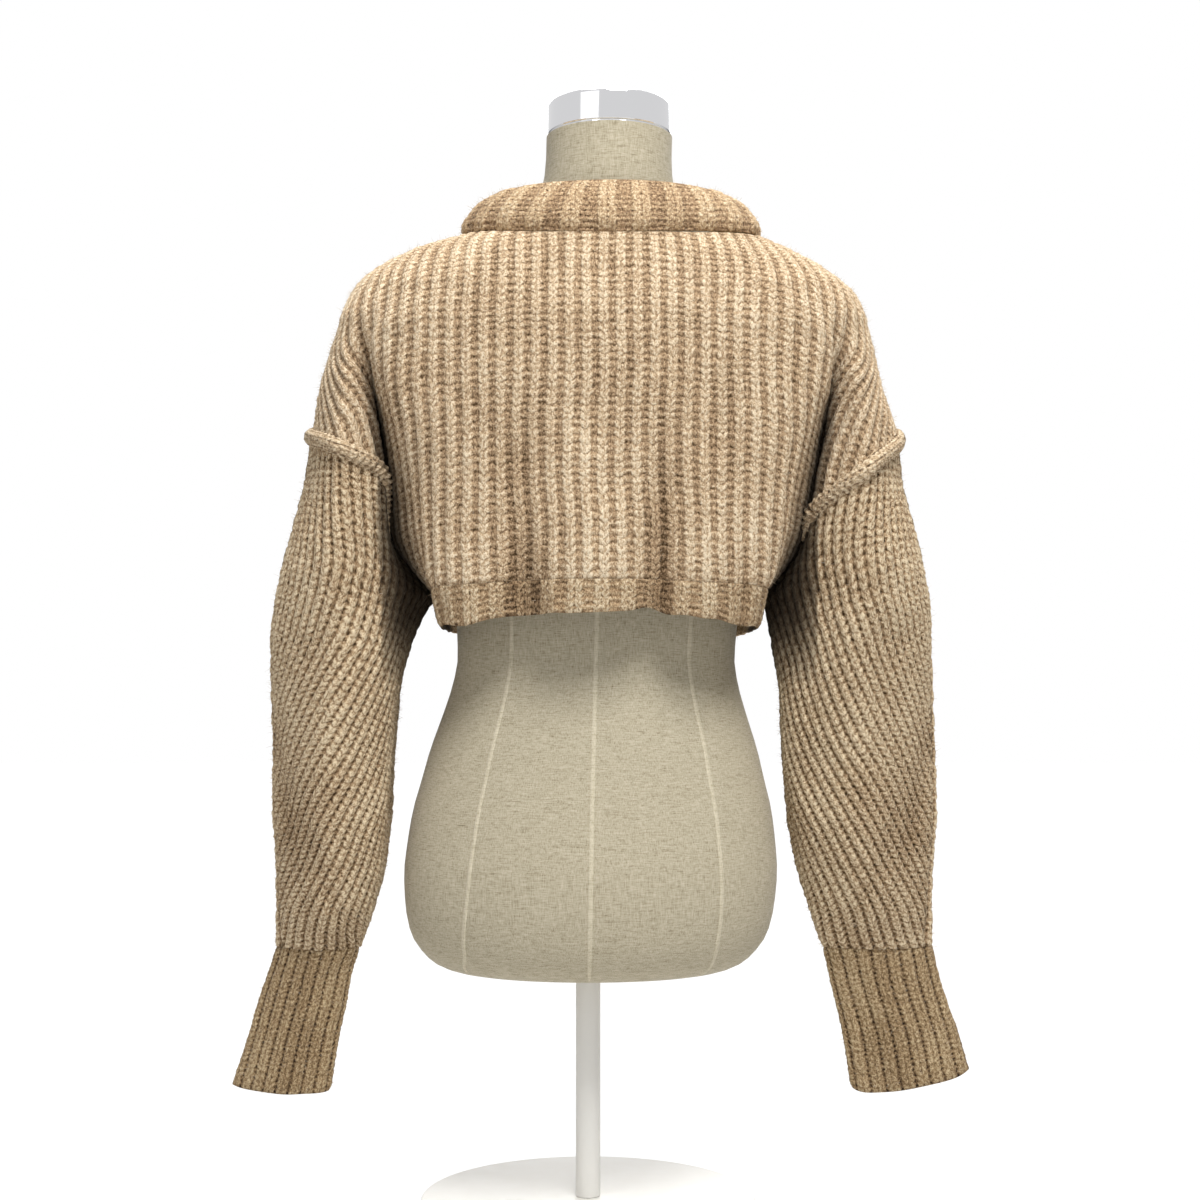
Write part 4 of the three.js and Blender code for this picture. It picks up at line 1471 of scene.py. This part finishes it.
@dataclass
class Cuff(KnittedPiece):
    """A long ribbed cuff that widens towards its end.

    Attributes:
        side: The wearer's side.
        columns: The number of columns round it.
        rows: The number of rows.
        ribs: The number of ribs round it.
    """

    side: Side = Side.LEFT
    columns: int = 136
    rows: int = 74
    ribs: int = 17

    def grid(self) -> Grid:
        """The cuff's net, its rows closed.

        Returns:
            The net.
        """
        end = (LEFT_SLEEVE if self.side is Side.LEFT else RIGHT_SLEEVE)[0]
        middle_x = (end[1] + end[6]) / 2
        slant = 0.07 if self.side is Side.LEFT else 0.17
        dense = np.linspace(0, 2, 1201)
        run = np.where(dense > 1, 2 - dense, dense)
        place = mix(VALLEY, OUTER, run)
        place = np.where(dense > 1, 2 - place, place)
        rows = []
        for share in np.linspace(0, 1, self.rows):
            height = mix(end[0], CUFF_TOP, share)
            points = SHAPE.point(self.side, True, place, np.full_like(place, height))
            points[:, 2] += slant * (np.abs(points[:, 0]) - middle_x) * (1 - share) ** 2
            corner = np.abs(points[:, 0]) - middle_x
            points[:, 2] += 2.0 * (np.abs(corner) / 44) ** 6 * (1 - share) ** 6
            rows.append(even_points(points, self.columns + 1)[:-1])
        points = np.array(rows)
        normals = grid_normals(points, True, points - points.mean(axis=1, keepdims=True))
        around = np.arange(self.columns) / self.columns * self.ribs * self.stitches.pitch
        wale = np.tile(around, (self.rows, 1))
        return Grid(points, normals, wale, path_length(points, 0), closed=True, turns=self.ribs)


@dataclass
class NeckBand(KnittedPiece):
    """The tall ribbed collar.

    Attributes:
        columns: The number of columns round it.
        rows: The number of rows.
        ribs: The number of ribs round it.
        centre: How far its rim stands to the right of the middle.
        half_width: Half the width of its rim.
        back: How far the rim's middle stands back.
        front: How far it stands forward.
        height_back: The rim's height at the back and the sides.
        height_front: The rim's height at the front.
        bulge: How far the collar swells between seam and rim.
    """

    columns: int = 380
    rows: int = 40
    ribs: int = 24
    centre: float = 7.0
    half_width: float = 104.0
    back: float = 69.0
    front: float = 82.0
    height_back: float = 905.0
    height_front: float = 876.0
    bulge: float = 7.0

    def grid(self) -> Grid:
        """The collar's net, from its seam up and over its rolled rim.

        Returns:
            The net.
        """
        turn = np.linspace(0, 4, 2401)
        quarter = np.where(turn <= 1, turn, np.where(turn <= 3, np.abs(2 - turn), 4 - turn))
        is_back = (turn <= 1) | (turn > 3)
        is_right = turn <= 2
        place = np.where(is_back, quarter, 2 - quarter)
        right = SHAPE.point(Side.RIGHT, False, place, np.full_like(place, NECK_EDGE))
        left = SHAPE.point(Side.LEFT, False, place, np.full_like(place, NECK_EDGE))
        seam = np.where(is_right[:, None], right, left)
        drop = np.where(is_back, NECK_BACK, NECK_FRONT) - NECK_EDGE
        seam[:, 2] += drop * (1 - smooth(quarter))
        sign = np.where(is_right, 1.0, -1.0)
        angle = quarter * math.pi / 2
        depth = np.where(is_back, -self.back, self.front)
        rim_middle = np.where(is_back, self.height_back, self.height_front)
        rim = np.stack([self.centre + sign * self.half_width * np.sin(angle), depth * np.cos(angle),
                        mix(rim_middle, self.height_back, smooth(quarter))], axis=-1)
        radial = np.stack([sign * np.sin(angle), np.sign(depth) * np.cos(angle), 0 * angle], axis=-1)
        across = np.cross(np.array([0.0, 0.0, 1.0]), radial)
        outward = unit(np.cross(across, rim - seam))
        outward *= np.where(np.sum(outward * radial, axis=-1) < 0, -1, 1)[:, None]
        shares = np.linspace(0, 1, self.rows)
        rows = []
        for share in shares:
            swell = self.bulge * 4 * share * (1 - share) + 3.0 * smooth(share * 6) * (1 - share)
            points = seam + (rim - seam) * share + outward * swell
            rows.append(even_points(points, self.columns + 1)[:-1])
        points = np.array(rows)
        away = points - np.array([self.centre, 0.0, 830.0])
        normals = grid_normals(points, True, away)
        around = np.tile(np.arange(self.columns) / 26, (self.rows, 1))
        sway = 1.2 * soft_noise(around, points[..., 2] / 60, 71)
        points = points + normals * (sway * smooth(shares * 4)[:, None])[..., None]
        around = np.arange(self.columns) / self.columns * self.ribs * self.stitches.pitch
        wale = np.tile(around, (self.rows, 1))
        return Grid(points, normals, wale, path_length(points, 0), closed=True, turns=self.ribs)


@dataclass
class Welt(KnittedPiece):
    """The thick raised seam round an armhole, a flattened cord of slanting stitches.

    Attributes:
        side: The wearer's side.
        start: The run along the armhole where it starts.
        width: Its width.
        height: How far it stands out.
        columns: The number of points round its section.
        rows: The number of points along it.
    """

    side: Side = Side.LEFT
    start: float = 0.3
    width: float = 15.0
    height: float = 7.0
    columns: int = 18
    rows: int = 210

    def build(self, materials: dict[str, bpy.types.Material]) -> bpy.types.Object:
        """Args:
            materials: Finished materials by name.

        Returns:
            The new object.
        """
        line = np.linspace(self.start, 2 - self.start, 900)
        front = line > 1
        run = np.where(front, 2 - line, line)
        place, height = (curve(run) for curve in SHAPE.seam[self.side])
        spine = SHAPE.point(self.side, True, np.where(front, 2 - place, place), height)
        walked = path_length(spine[None], 1)[0]
        even = np.linspace(0, walked[-1], self.rows)
        spine = even_points(spine, self.rows)
        forward = unit(np.gradient(spine, axis=0))
        line = np.interp(even, walked, line)
        beside = self._beside(line)
        beside = unit(beside - forward * np.sum(beside * forward, axis=-1, keepdims=True))
        outward = np.cross(forward, beside)
        outward *= np.sign(np.sum(outward * (spine - [self.side.sign * 150, 0, 640]), axis=-1))[:, None]
        turn = np.linspace(-0.5 * math.pi, 1.5 * math.pi, self.columns, endpoint=False)
        along = np.arange(self.rows)[:, None] * (even[1] - even[0])
        twist = 0.5 + 0.5 * np.cos(2 * math.pi * (along / self.stitches.course - np.cos(turn)[None, :] * 0.5))
        taper = smooth(np.minimum(along, even[-1] - along) / 18)
        size = 1 + 0.16 * (twist - 0.5)
        flat = np.cos(turn)[None, :] * self.width / 2 * size
        rise = np.sin(turn)[None, :] * self.height * (0.75 + 0.4 * twist)
        side_shift = self.width * 0.05
        points = (spine[:, None] + beside[:, None] * ((flat + side_shift) * taper)[..., None]
                  + outward[:, None] * (rise * taper)[..., None])
        obj = cord(self.name, points)
        ribs = np.tile(turn * self.width / 3, (self.rows, 1)) / self.stitches.pitch
        rows = np.repeat(along, self.columns, axis=1) / self.stitches.course
        corners = np.empty(len(obj.data.loops), np.int32)
        obj.data.loops.foreach_get("vertex_index", corners)
        counted = np.stack([ribs.ravel(), rows.ravel()], axis=-1)[corners]
        obj.data.uv_layers.new(name="knit").data.foreach_set("uv", counted.astype(np.float32).ravel())
        # The share is lower between the cord's twists, so the colour there is darkened as painted shade.
        relief = np.clip(0.35 + 0.6 * twist, 0, 1).astype(np.float32)
        obj.data.attributes.new("relief", "FLOAT", "POINT").data.foreach_set("value", relief.ravel())
        obj.data.materials.append(materials[self.wool.name])
        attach(obj, "root")
        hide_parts(*self.nodes)
        log.info("%s: %d faces", self.name, len(obj.data.polygons))
        return obj

    def _beside(self, line: np.ndarray) -> np.ndarray:
        """The direction down the sleeve from the seam.

        Args:
            line: The run along the seam, past 1 on the front.

        Returns:
            A vector for each run.
        """
        front = line > 1
        run = np.where(front, 2 - line, line)
        place, height = (curve(run) for curve in SHAPE.seam[self.side])
        around = np.where(front, 2 - place, place)
        upper = SHAPE.point(self.side, True, around, height)
        share = 0.96  # how far up the sleeve the second point lies
        lower_place = mix(mix(VALLEY, OUTER, run), place, smooth(np.full_like(run, share)))
        lower_place = np.where(front, 2 - lower_place, lower_place)
        lower = SHAPE.point(self.side, True, lower_place, mix(CUFF_TOP, height, share))
        return unit(lower - upper)


THIRDS = (0.0, 2.094, 4.189)  # the corners of a needle's foot, a third of a turn apart


@dataclass
class Nap:
    """The loose fibres that a brushed knit raises over its surface.

    Attributes:
        count: The number of fibres.
        shortest: The length of the shortest.
        longest: The length of the longest.
        thickness: How thick a fibre is at its root.
        seed: Which scatter.
    """

    count: int = 20000
    shortest: float = 2.5
    longest: float = 7.5
    thickness: float = 0.2
    seed: int = 5

    def build(self, surfaces: Sequence[tuple[np.ndarray, np.ndarray]], material: bpy.types.Material) -> None:
        """Scatter needles over the knitted pieces.

        Args:
            surfaces: Points and outward directions of each piece's yarn.
            material: The fibres' material.
        """
        chance = np.random.default_rng(self.seed)
        roots = np.concatenate([points.reshape(-1, 3) for points, _ in surfaces])
        outward = np.concatenate([normals.reshape(-1, 3) for _, normals in surfaces])
        chosen = chance.choice(len(roots), self.count, replace=False)
        # No fibres grow in the fold, where the wool is darkened as painted shade.
        chosen = chosen[SHAPE.recess(roots[chosen]) < 0.1]
        count = len(chosen)
        roots, outward = roots[chosen], outward[chosen]
        direction = unit(outward * 0.8 + chance.normal(0, 0.5, outward.shape))
        length = chance.uniform(self.shortest, self.longest, (count, 1))
        first = unit(np.cross(direction, chance.normal(0, 1, outward.shape)))
        second = np.cross(direction, first)
        corners = [roots - outward * 0.6 + (first * math.cos(a) + second * math.sin(a)) * self.thickness
                   for a in THIRDS]
        tips = roots + direction * length + chance.normal(0, 0.5, outward.shape)
        points = np.stack(corners + [tips], axis=1).reshape(-1, 3) * MM
        start = np.arange(count)[:, None] * 4
        sides = [start + np.array([shape]) for shape in ((0, 1, 3), (1, 2, 3), (2, 0, 3), (2, 1, 0))]
        mesh = bpy.data.meshes.new("sweater_nap")
        mesh.from_pydata(points.tolist(), [], np.concatenate(sides).tolist())
        mesh.materials.append(material)
        obj = bpy.data.objects.new("sweater_nap", mesh)
        bpy.context.scene.collection.objects.link(obj)
        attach(obj, "root")
        log.info("nap: %d fibres", count)


# ---------- the dress form and its stand ----------
def deselect() -> None:
    """Leave nothing selected."""
    bpy.ops.object.select_all(action="DESELECT")


def fixed(obj: bpy.types.Object, angle: float) -> bpy.types.Object:
    """Put an object's place into its mesh and smooth its shading.

    Args:
        obj: The object.
        angle: Edges sharper than this stay sharp, in degrees.

    Returns:
        The same object.
    """
    deselect()
    obj.select_set(True)
    bpy.context.view_layer.objects.active = obj
    bpy.ops.object.transform_apply(location=True, rotation=True, scale=True)
    bpy.ops.object.shade_smooth_by_angle(angle=math.radians(angle))
    return obj


@dataclass
class DressForm:
    """The linen-covered torso and its polished cap.

    Attributes:
        lean: How far the form runs sideways for each unit of height.
        upright_height: Where its leaning axis crosses the middle.
        sections: Height, half width, depth to the back and depth to the front.
        segments: The number of steps round it.
        cap_bottom: The height of the cap's underside.
        cap_top: The height of its top.
        cap_radius: Its radius.
        cap_edge: The rounding of its top edge.
        groove: The height of the cap's fine groove over its underside.
    """

    lean: float = 0.0255
    upright_height: float = 735.0
    segments: int = 128
    cap_bottom: float = 959.3
    cap_top: float = 989.0
    cap_radius: float = 55.5
    cap_edge: float = 4.0
    groove: float = 1.6
    sections: tuple[tuple[float, float, float, float], ...] = field(default=(
        (210, 104, 72, 66), (212, 118, 84, 76), (218, 136, 97, 86), (230, 150, 107, 95),
        (247, 160.5, 113, 100), (274, 166, 117, 103), (300, 167.5, 117, 104), (328, 165, 113, 103),
        (355, 161, 108, 101), (382, 154, 101, 98), (409, 147, 94, 95), (436, 138, 87, 91),
        (463, 129.5, 80, 88), (490, 124.5, 77, 87), (540, 128, 80, 93), (590, 139, 88, 106),
        (640, 148, 96, 120), (690, 153, 101, 127), (730, 162.1, 106, 126), (760, 174.1, 108.1, 120.1),
        (790, 185.1, 103.1, 108.1), (815, 191.1, 94.1, 93.1), (832, 189.1, 84.1, 82.1),
        (844, 175.1, 76.1, 75.1),
        (854, 147.1, 71.1, 71.1), (864, 113.3, 65.3, 65.3), (878, 82, 58.5, 59), (896, 66, 57.5, 58),
        (915, 59, 57.5, 57.5), (938, 56.5, 56.5, 56.5), (959, 56.5, 56.5, 56.5),
    ))

    def axis(self, height: np.ndarray | float) -> np.ndarray | float:
        """Where the form's axis is.

        Args:
            height: The height.

        Returns:
            Its distance to the right of the middle.
        """
        return self.lean * (height - self.upright_height)

    def torso(self, material: bpy.types.Material) -> bpy.types.Object:
        """Draw the torso up, ring by ring, from a disc.

        Args:
            material: Its linen.

        Returns:
            The torso.
        """
        columns = list(zip(*self.sections))
        widths, backs, fronts = (Curve(columns[0], column) for column in columns[1:])
        deselect()
        first = self.sections[0]
        bpy.ops.mesh.primitive_circle_add(vertices=self.segments, radius=MM, fill_type="NGON",
                                          location=(self.axis(first[0]) * MM, 0, first[0] * MM))
        obj = bpy.context.active_object
        obj.name = obj.data.name = "dress_form_torso"
        bpy.ops.object.transform_apply(location=True, rotation=True, scale=True)
        bpy.ops.object.mode_set(mode="EDIT")
        bpy.ops.mesh.select_all(action="SELECT")
        levels = [first[0], 211, 212.5, 215, 219, 224, 231, 240, 250]
        levels += list(np.arange(264, 800, 14.0)) + list(np.arange(802, 900, 5.0)) + [910, 925, 940, 959]
        size = np.array([1.0, 1.0])
        previous = first[0]
        for i, level in enumerate(levels):
            centre = (self.axis(level) * MM, 0, level * MM)
            if i:
                step = ((self.axis(level) - self.axis(previous)) * MM, 0, (level - previous) * MM)
                bpy.ops.mesh.extrude_region_move(TRANSFORM_OT_translate={"value": step})
            depth = float(backs(level) + fronts(level)) / 2
            wanted = np.array([float(widths(level)), depth])
            grow = wanted / size
            bpy.ops.transform.resize(value=(grow[0], grow[1], 1), center_override=centre)
            size, previous = wanted, level
        bpy.ops.mesh.select_all(action="SELECT")
        bpy.ops.mesh.normals_make_consistent(inside=False)
        bpy.ops.object.mode_set(mode="OBJECT")
        for vertex in obj.data.vertices:
            level = vertex.co.z / MM
            back, front = float(backs(level)), float(fronts(level))
            vertex.co.y *= (back if vertex.co.y < 0 else front) * 2 / (back + front)
        fixed(obj, 50)
        obj.data.materials.append(material)
        return obj

    def seam_line(self, name: str, line: Sequence[tuple[float, float]], material: bpy.types.Material,
                  front: bool) -> bpy.types.Object:
        """A raised seam on the torso.

        Args:
            name: The piece's name.
            line: Heights and distances to the right of the form's axis, as shares of its half width.
            material: Its linen.
            front: Whether it is on the front.

        Returns:
            The seam.
        """
        columns = list(zip(*self.sections))
        widths = Curve(columns[0], columns[1])
        depths = Curve(columns[0], columns[3 if front else 2])
        share = Curve([h for h, _ in line], [s for _, s in line])
        heights = np.linspace(line[0][0], line[-1][0], 160)
        side = share(heights)
        angle = np.arcsin(np.clip(side, -1, 1))
        sign = 1 if front else -1
        x = self.axis(heights) + widths(heights) * np.sin(angle)
        spine = np.stack([x, sign * depths(heights) * np.cos(angle), heights], -1)
        out = unit(np.stack([np.sin(angle) / widths(heights), sign * np.cos(angle) / depths(heights),
                             np.zeros_like(angle)], -1))
        forward = unit(np.gradient(spine, axis=0))
        beside = np.cross(forward, out)
        profile = ((-2.4, -1.2), (-2.0, 0.1), (-0.9, 0.42), (0.9, 0.42), (2.0, 0.1), (2.4, -1.2))
        points = np.stack([spine + beside * a + out * b for a, b in profile], axis=1)
        obj = cord(name, points)
        obj.data.materials.append(material)
        return obj

    def cap(self, material: bpy.types.Material) -> bpy.types.Object:
        """The polished cap, with a fine groove above its foot.

        Args:
            material: Its plating.

        Returns:
            The cap.
        """
        height = (self.cap_top - self.cap_bottom) * MM
        deselect()
        bpy.ops.mesh.primitive_cylinder_add(vertices=128, radius=self.cap_radius * MM, depth=height,
                                            location=(self.axis(self.cap_bottom) * MM, 0,
                                                      self.cap_bottom * MM + height / 2))
        obj = bpy.context.active_object
        obj.name = obj.data.name = "dress_form_cap"
        bpy.ops.object.transform_apply(location=True, rotation=True, scale=True)
        bpy.ops.object.mode_set(mode="EDIT")
        for level in (self.groove, self.groove + 1.0):
            bpy.ops.mesh.select_all(action="SELECT")
            bpy.ops.mesh.bisect(plane_co=(0, 0, (self.cap_bottom + level) * MM), plane_no=(0, 0, 1))
        bpy.ops.object.mode_set(mode="OBJECT")
        axis = self.axis(self.cap_bottom) * MM
        for vertex in obj.data.vertices:
            if abs(vertex.co.z - (self.cap_bottom + self.groove) * MM) < 1e-6:
                vertex.co.x = axis + (vertex.co.x - axis) * 0.985
                vertex.co.y *= 0.985
        bevel = obj.modifiers.new("rounding", "BEVEL")
        bevel.width = self.cap_edge * MM
        bevel.segments = 6
        bevel.limit_method = "WEIGHT"
        weights = obj.data.attributes.new("bevel_weight_edge", "FLOAT", "EDGE")
        for edge in obj.data.edges:
            ends = [obj.data.vertices[i].co for i in edge.vertices]
            high = all(abs(end.z - self.cap_top * MM) < 1e-6 for end in ends)
            weights.data[edge.index].value = 1.0 if high else 0.0
        deselect()
        obj.select_set(True)
        bpy.context.view_layer.objects.active = obj
        bpy.ops.object.modifier_apply(modifier=bevel.name)
        fixed(obj, 35)
        obj.data.materials.append(material)
        return obj

    def build(self, materials: dict[str, bpy.types.Material]) -> bpy.types.Object:
        """Make the form, dress it and set it on the frame.

        Args:
            materials: Finished materials by name.

        Returns:
            The torso.
        """
        torso = self.torso(materials[LINEN.name])
        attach(torso, "root")
        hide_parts("form_torso")
        lines = {
            "seam_back_left": (((214, -0.8), (240, -0.68), (310, -0.615), (400, -0.6), (517, -0.588),
                                (700, -0.52), (830, -0.5)), False),
            "seam_back_right": (((214, 0.76), (250, 0.69), (364, 0.662), (517, 0.648), (700, 0.55),
                                 (830, 0.5)), False),
            "seam_back_middle": (((214, 0.01), (400, 0.0), (600, 0.0), (840, 0.0)), False),
            "seam_front_left": (((214, -0.7), (300, -0.66), (480, -0.6), (690, -0.55), (830, -0.5)), True),
            "seam_front_right": (((214, 0.7), (300, 0.66), (480, 0.6), (690, 0.55), (830, 0.5)), True),
            "seam_front_middle": (((214, 0.0), (600, 0.0), (930, 0.0)), True),
        }
        for name, (line, front) in lines.items():
            seam = self.seam_line("dress_form_" + name, line, materials[LINEN_SEAM.name], front)
            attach(seam, "root")
        cap = self.cap(materials[PLATING.name])
        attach(cap, "root")
        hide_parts("neck_cap")
        log.info("dress form: %d faces", len(torso.data.polygons))
        return torso


@dataclass
class Stand:
    """The pole and the round base.

    Attributes:
        centre: Where the pole stands, to the right of the middle.
        pole_radius: The pole's radius.
        pole_top: The height of its top.
        base_radius: The base's radius.
        base_height: Its height.
        edge: The rounding of its edges.
    """

    centre: float
    pole_radius: float = 11.0
    pole_top: float = 209.7
    base_radius: float = 150.0
    base_height: float = 8.0
    edge: float = 2.0

    def round_piece(self, name: str, radius: float, low: float, high: float, rounding: float,
                    material: bpy.types.Material) -> bpy.types.Object:
        """A turned piece with rounded edges.

        Args:
            name: The piece's name.
            radius: Its radius.
            low: The height of its underside.
            high: The height of its top.
            rounding: The rounding of its edges.
            material: Its finish.

        Returns:
            The piece.
        """
        deselect()
        bpy.ops.mesh.primitive_cylinder_add(vertices=128, radius=radius * MM, depth=(high - low) * MM,
                                            location=(self.centre * MM, 0, (low + high) / 2 * MM))
        obj = bpy.context.active_object
        obj.name = obj.data.name = name
        bpy.ops.object.mode_set(mode="EDIT")
        bpy.ops.mesh.select_all(action="DESELECT")
        bpy.ops.object.mode_set(mode="OBJECT")
        for polygon in obj.data.polygons:
            polygon.select = abs(polygon.normal.z) > 0.9
        bpy.ops.object.mode_set(mode="EDIT")
        bpy.ops.mesh.bevel(offset=rounding * MM, segments=4, affect="EDGES")
        bpy.ops.object.mode_set(mode="OBJECT")
        fixed(obj, 40)
        obj.data.materials.append(material)
        return obj

    def build(self, materials: dict[str, bpy.types.Material]) -> None:
        """Make the pole and the base and set them on the frame.

        Args:
            materials: Finished materials by name.
        """
        paint = materials[PAINT.name]
        foot = self.base_height + 0.3
        pole = self.round_piece("stand_tube", self.pole_radius, foot, self.pole_top, 0.8, paint)
        base = self.round_piece("stand_plate", self.base_radius, 0.0, self.base_height, self.edge, paint)
        for piece, node in ((pole, "stand_pole"), (base, "stand_base")):
            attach(piece, "root")
            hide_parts(node)
        log.info("stand: pole and base")


# ---------- the studio ----------
@dataclass
class Studio:
    """The camera, the pale floor and the soft light.

    Attributes:
        camera_place: Where the camera stands, in metres.
        rise: How far its frame is moved up, as a share of its width, so that uprights stay parallel.
        lens: Its focal length for a sensor 36 mm wide.
        floor_glow: How brightly the floor shows to the camera alone.
        floor_share: How much of what the camera sees of the floor is that glow.
        surround: The strength of the even light all round.
        polish_share: How far polished metal sees the surround at full strength.
        aim: The point that every light faces, in metres.
    """

    camera_place: tuple[float, float, float] = (-0.0027, -1.725, 0.454)
    rise: float = 0.0833
    lens: float = 57.5
    floor_glow: float = 1.12
    floor_share: float = 0.92
    surround: float = 0.34
    polish_share: float = 0.85
    aim: tuple[float, float, float] = (0.0, 0.0, 0.75)

    def camera(self) -> None:
        """Set the camera up."""
        data = bpy.data.cameras.new("camera")
        data.lens = self.lens
        data.sensor_width = 36
        data.shift_y = self.rise
        data.clip_start = 0.05
        camera = bpy.data.objects.new("camera", data)
        bpy.context.scene.collection.objects.link(camera)
        camera.location = self.camera_place
        camera.rotation_euler = (math.radians(90), 0, 0)
        bpy.context.scene.camera = camera

    def floor(self) -> None:
        """Lay the pale floor."""
        deselect()
        bpy.ops.mesh.primitive_plane_add(size=24, location=(0, 0, -0.0005))
        floor = bpy.context.active_object
        floor.name = "studio_floor"
        graph = Graph(bpy.data.materials.new("studio_floor"))
        plain = graph.add("BsdfPrincipled", {
            "Base Color": linear("#DDDDDD"), "Roughness": 0.9, "Specular IOR Level": 0.2,
        })
        glow = graph.add("Emission", {"Color": linear("#FFFFFF"), "Strength": self.floor_glow})
        seen = graph.math("MULTIPLY", graph.add("LightPath").outputs["Is Camera Ray"], self.floor_share)
        shader = graph.add("MixShader", {0: seen, 1: plain.outputs[0], 2: glow.outputs[0]})
        floor.data.materials.append(graph.finish(shader))

    def lights(self) -> None:
        """Hang large soft lights and a pale surround."""
        for name, place, size, power in (
                ("key_light", (0.5, -1.5, 2.8), 1.2, 80.0), ("fill_light", (-1.6, -2.1, 1.6), 1.6, 6.0),
                ("top_light", (0.0, 0.1, 2.9), 1.4, 25.0), ("back_light", (0.4, 2.5, 1.9), 2.0, 34.0)):
            data = bpy.data.lights.new(name, "AREA")
            data.shape = "SQUARE"
            data.size = size
            data.energy = power
            light = bpy.data.objects.new(name, data)
            bpy.context.scene.collection.objects.link(light)
            light.location = place
            direction = np.array(self.aim) - np.array(place)
            light.rotation_euler = Vector(direction).to_track_quat("-Z", "Y").to_euler()
        graph = Graph(bpy.data.worlds.new("studio"))
        even = graph.add("Background", {"Color": linear("#FFFFFF"), "Strength": self.surround})
        bright = graph.add("Background", {"Color": linear("#FFFFFF"), "Strength": 1.0})
        path = graph.add("LightPath").outputs
        seen = graph.math("MULTIPLY_ADD", path["Is Glossy Ray"], self.polish_share, path["Is Camera Ray"])
        blend = graph.add("MixShader", {0: seen, 1: even.outputs[0], 2: bright.outputs[0]})
        bpy.context.scene.world = graph.finish(blend)
        bpy.context.scene.view_settings.view_transform = "Standard"


# ---------- assembly ----------
def sweater_pieces() -> list[KnittedPiece]:
    """List the sweater's pieces, with the cloth that each was cut to.

    Returns:
        The pieces, each after what it lies on.
    """
    form = ("dress_form_torso",)
    body = ("sweater_back", "sweater_front")
    pieces: list[KnittedPiece] = [
        Panel("sweater_back", ("back_panel",), PANEL_KNIT, BODY_WOOL, "wool_rib",
              Cut((0.78, 0.34), 0.193, "draped", form), Face.BACK, BACK_CREASES),
        Panel("sweater_front", ("front_panel",), PANEL_KNIT, BODY_WOOL, "wool_rib",
              Cut((0.80, 0.34), 0.197, "draped", form), Face.FRONT, FRONT_CREASES, 2.4, 58, 76),
        HemBand("sweater_hem_back", ("hem_band_back",), HEM_KNIT, HEM_WOOL, "wool_two_by_two",
                Cut((0.50, 0.038), 0.0154, "hung", body[:1]), Face.BACK, BACK_CREASES),
        HemBand("sweater_hem_front", ("hem_band_front",), HEM_KNIT, HEM_WOOL, "wool_two_by_two",
                Cut((0.52, 0.038), 0.0171, "hung", body[1:]), Face.FRONT, FRONT_CREASES),
        NeckBand("sweater_collar", ("neck_band",), COLLAR_KNIT, COLLAR_WOOL, "wool_two_by_two",
                 Cut((0.62, 0.055), 0.0341, "stretched", body)),
    ]
    # Sleeves and cuffs taper, so their area is less than their greatest width times length.
    cuts = {
        Side.LEFT: (((0.57, 0.46), 0.165), ((0.21, 0.136), 0.0259)),
        Side.RIGHT: (((0.55, 0.46), 0.163), ((0.24, 0.135), 0.0288)),
    }
    for side, (sleeve_cut, cuff_cut) in cuts.items():
        word = side.value
        sleeve = f"sweater_sleeve_{word}"
        pieces += [
            Sleeve(sleeve, (f"sleeve_{word}",), SLEEVE_KNIT, SLEEVE_WOOL, "wool_rib",
                   Cut(*sleeve_cut, "hung", body), side),
            Cuff(f"sweater_cuff_{word}", (f"cuff_{word}",), CUFF_KNIT, CUFF_WOOL, "wool_two_by_two",
                 Cut(*cuff_cut, "hung", (sleeve,)), side),
            Welt(f"sweater_armhole_welt_{word}", (f"armhole_welt_{word}",), WELT_KNIT, WELT_WOOL, "wool_rib",
                 None, side),
        ]
    return pieces


def main() -> None:
    """Build everything in order and report each piece."""
    logging.basicConfig(level=logging.INFO, format="%(name)s: %(message)s")
    studio = Studio()
    studio.camera()
    finishes = (BODY_WOOL, SLEEVE_WOOL, HEM_WOOL, COLLAR_WOOL, CUFF_WOOL, WELT_WOOL,
                LINEN, LINEN_SEAM, FIBRE, PLATING, PAINT)
    materials = {finish.name: finish.material() for finish in finishes}
    form = DressForm()
    form.build(materials)
    Stand(centre=form.axis(210.0)).build(materials)
    pieces = sweater_pieces()
    for piece in pieces:
        piece.build(materials)
    Nap().build([piece.surface for piece in pieces if piece.surface is not None], materials[FIBRE.name])
    studio.floor()
    studio.lights()


if __name__ == "__main__":
    main()
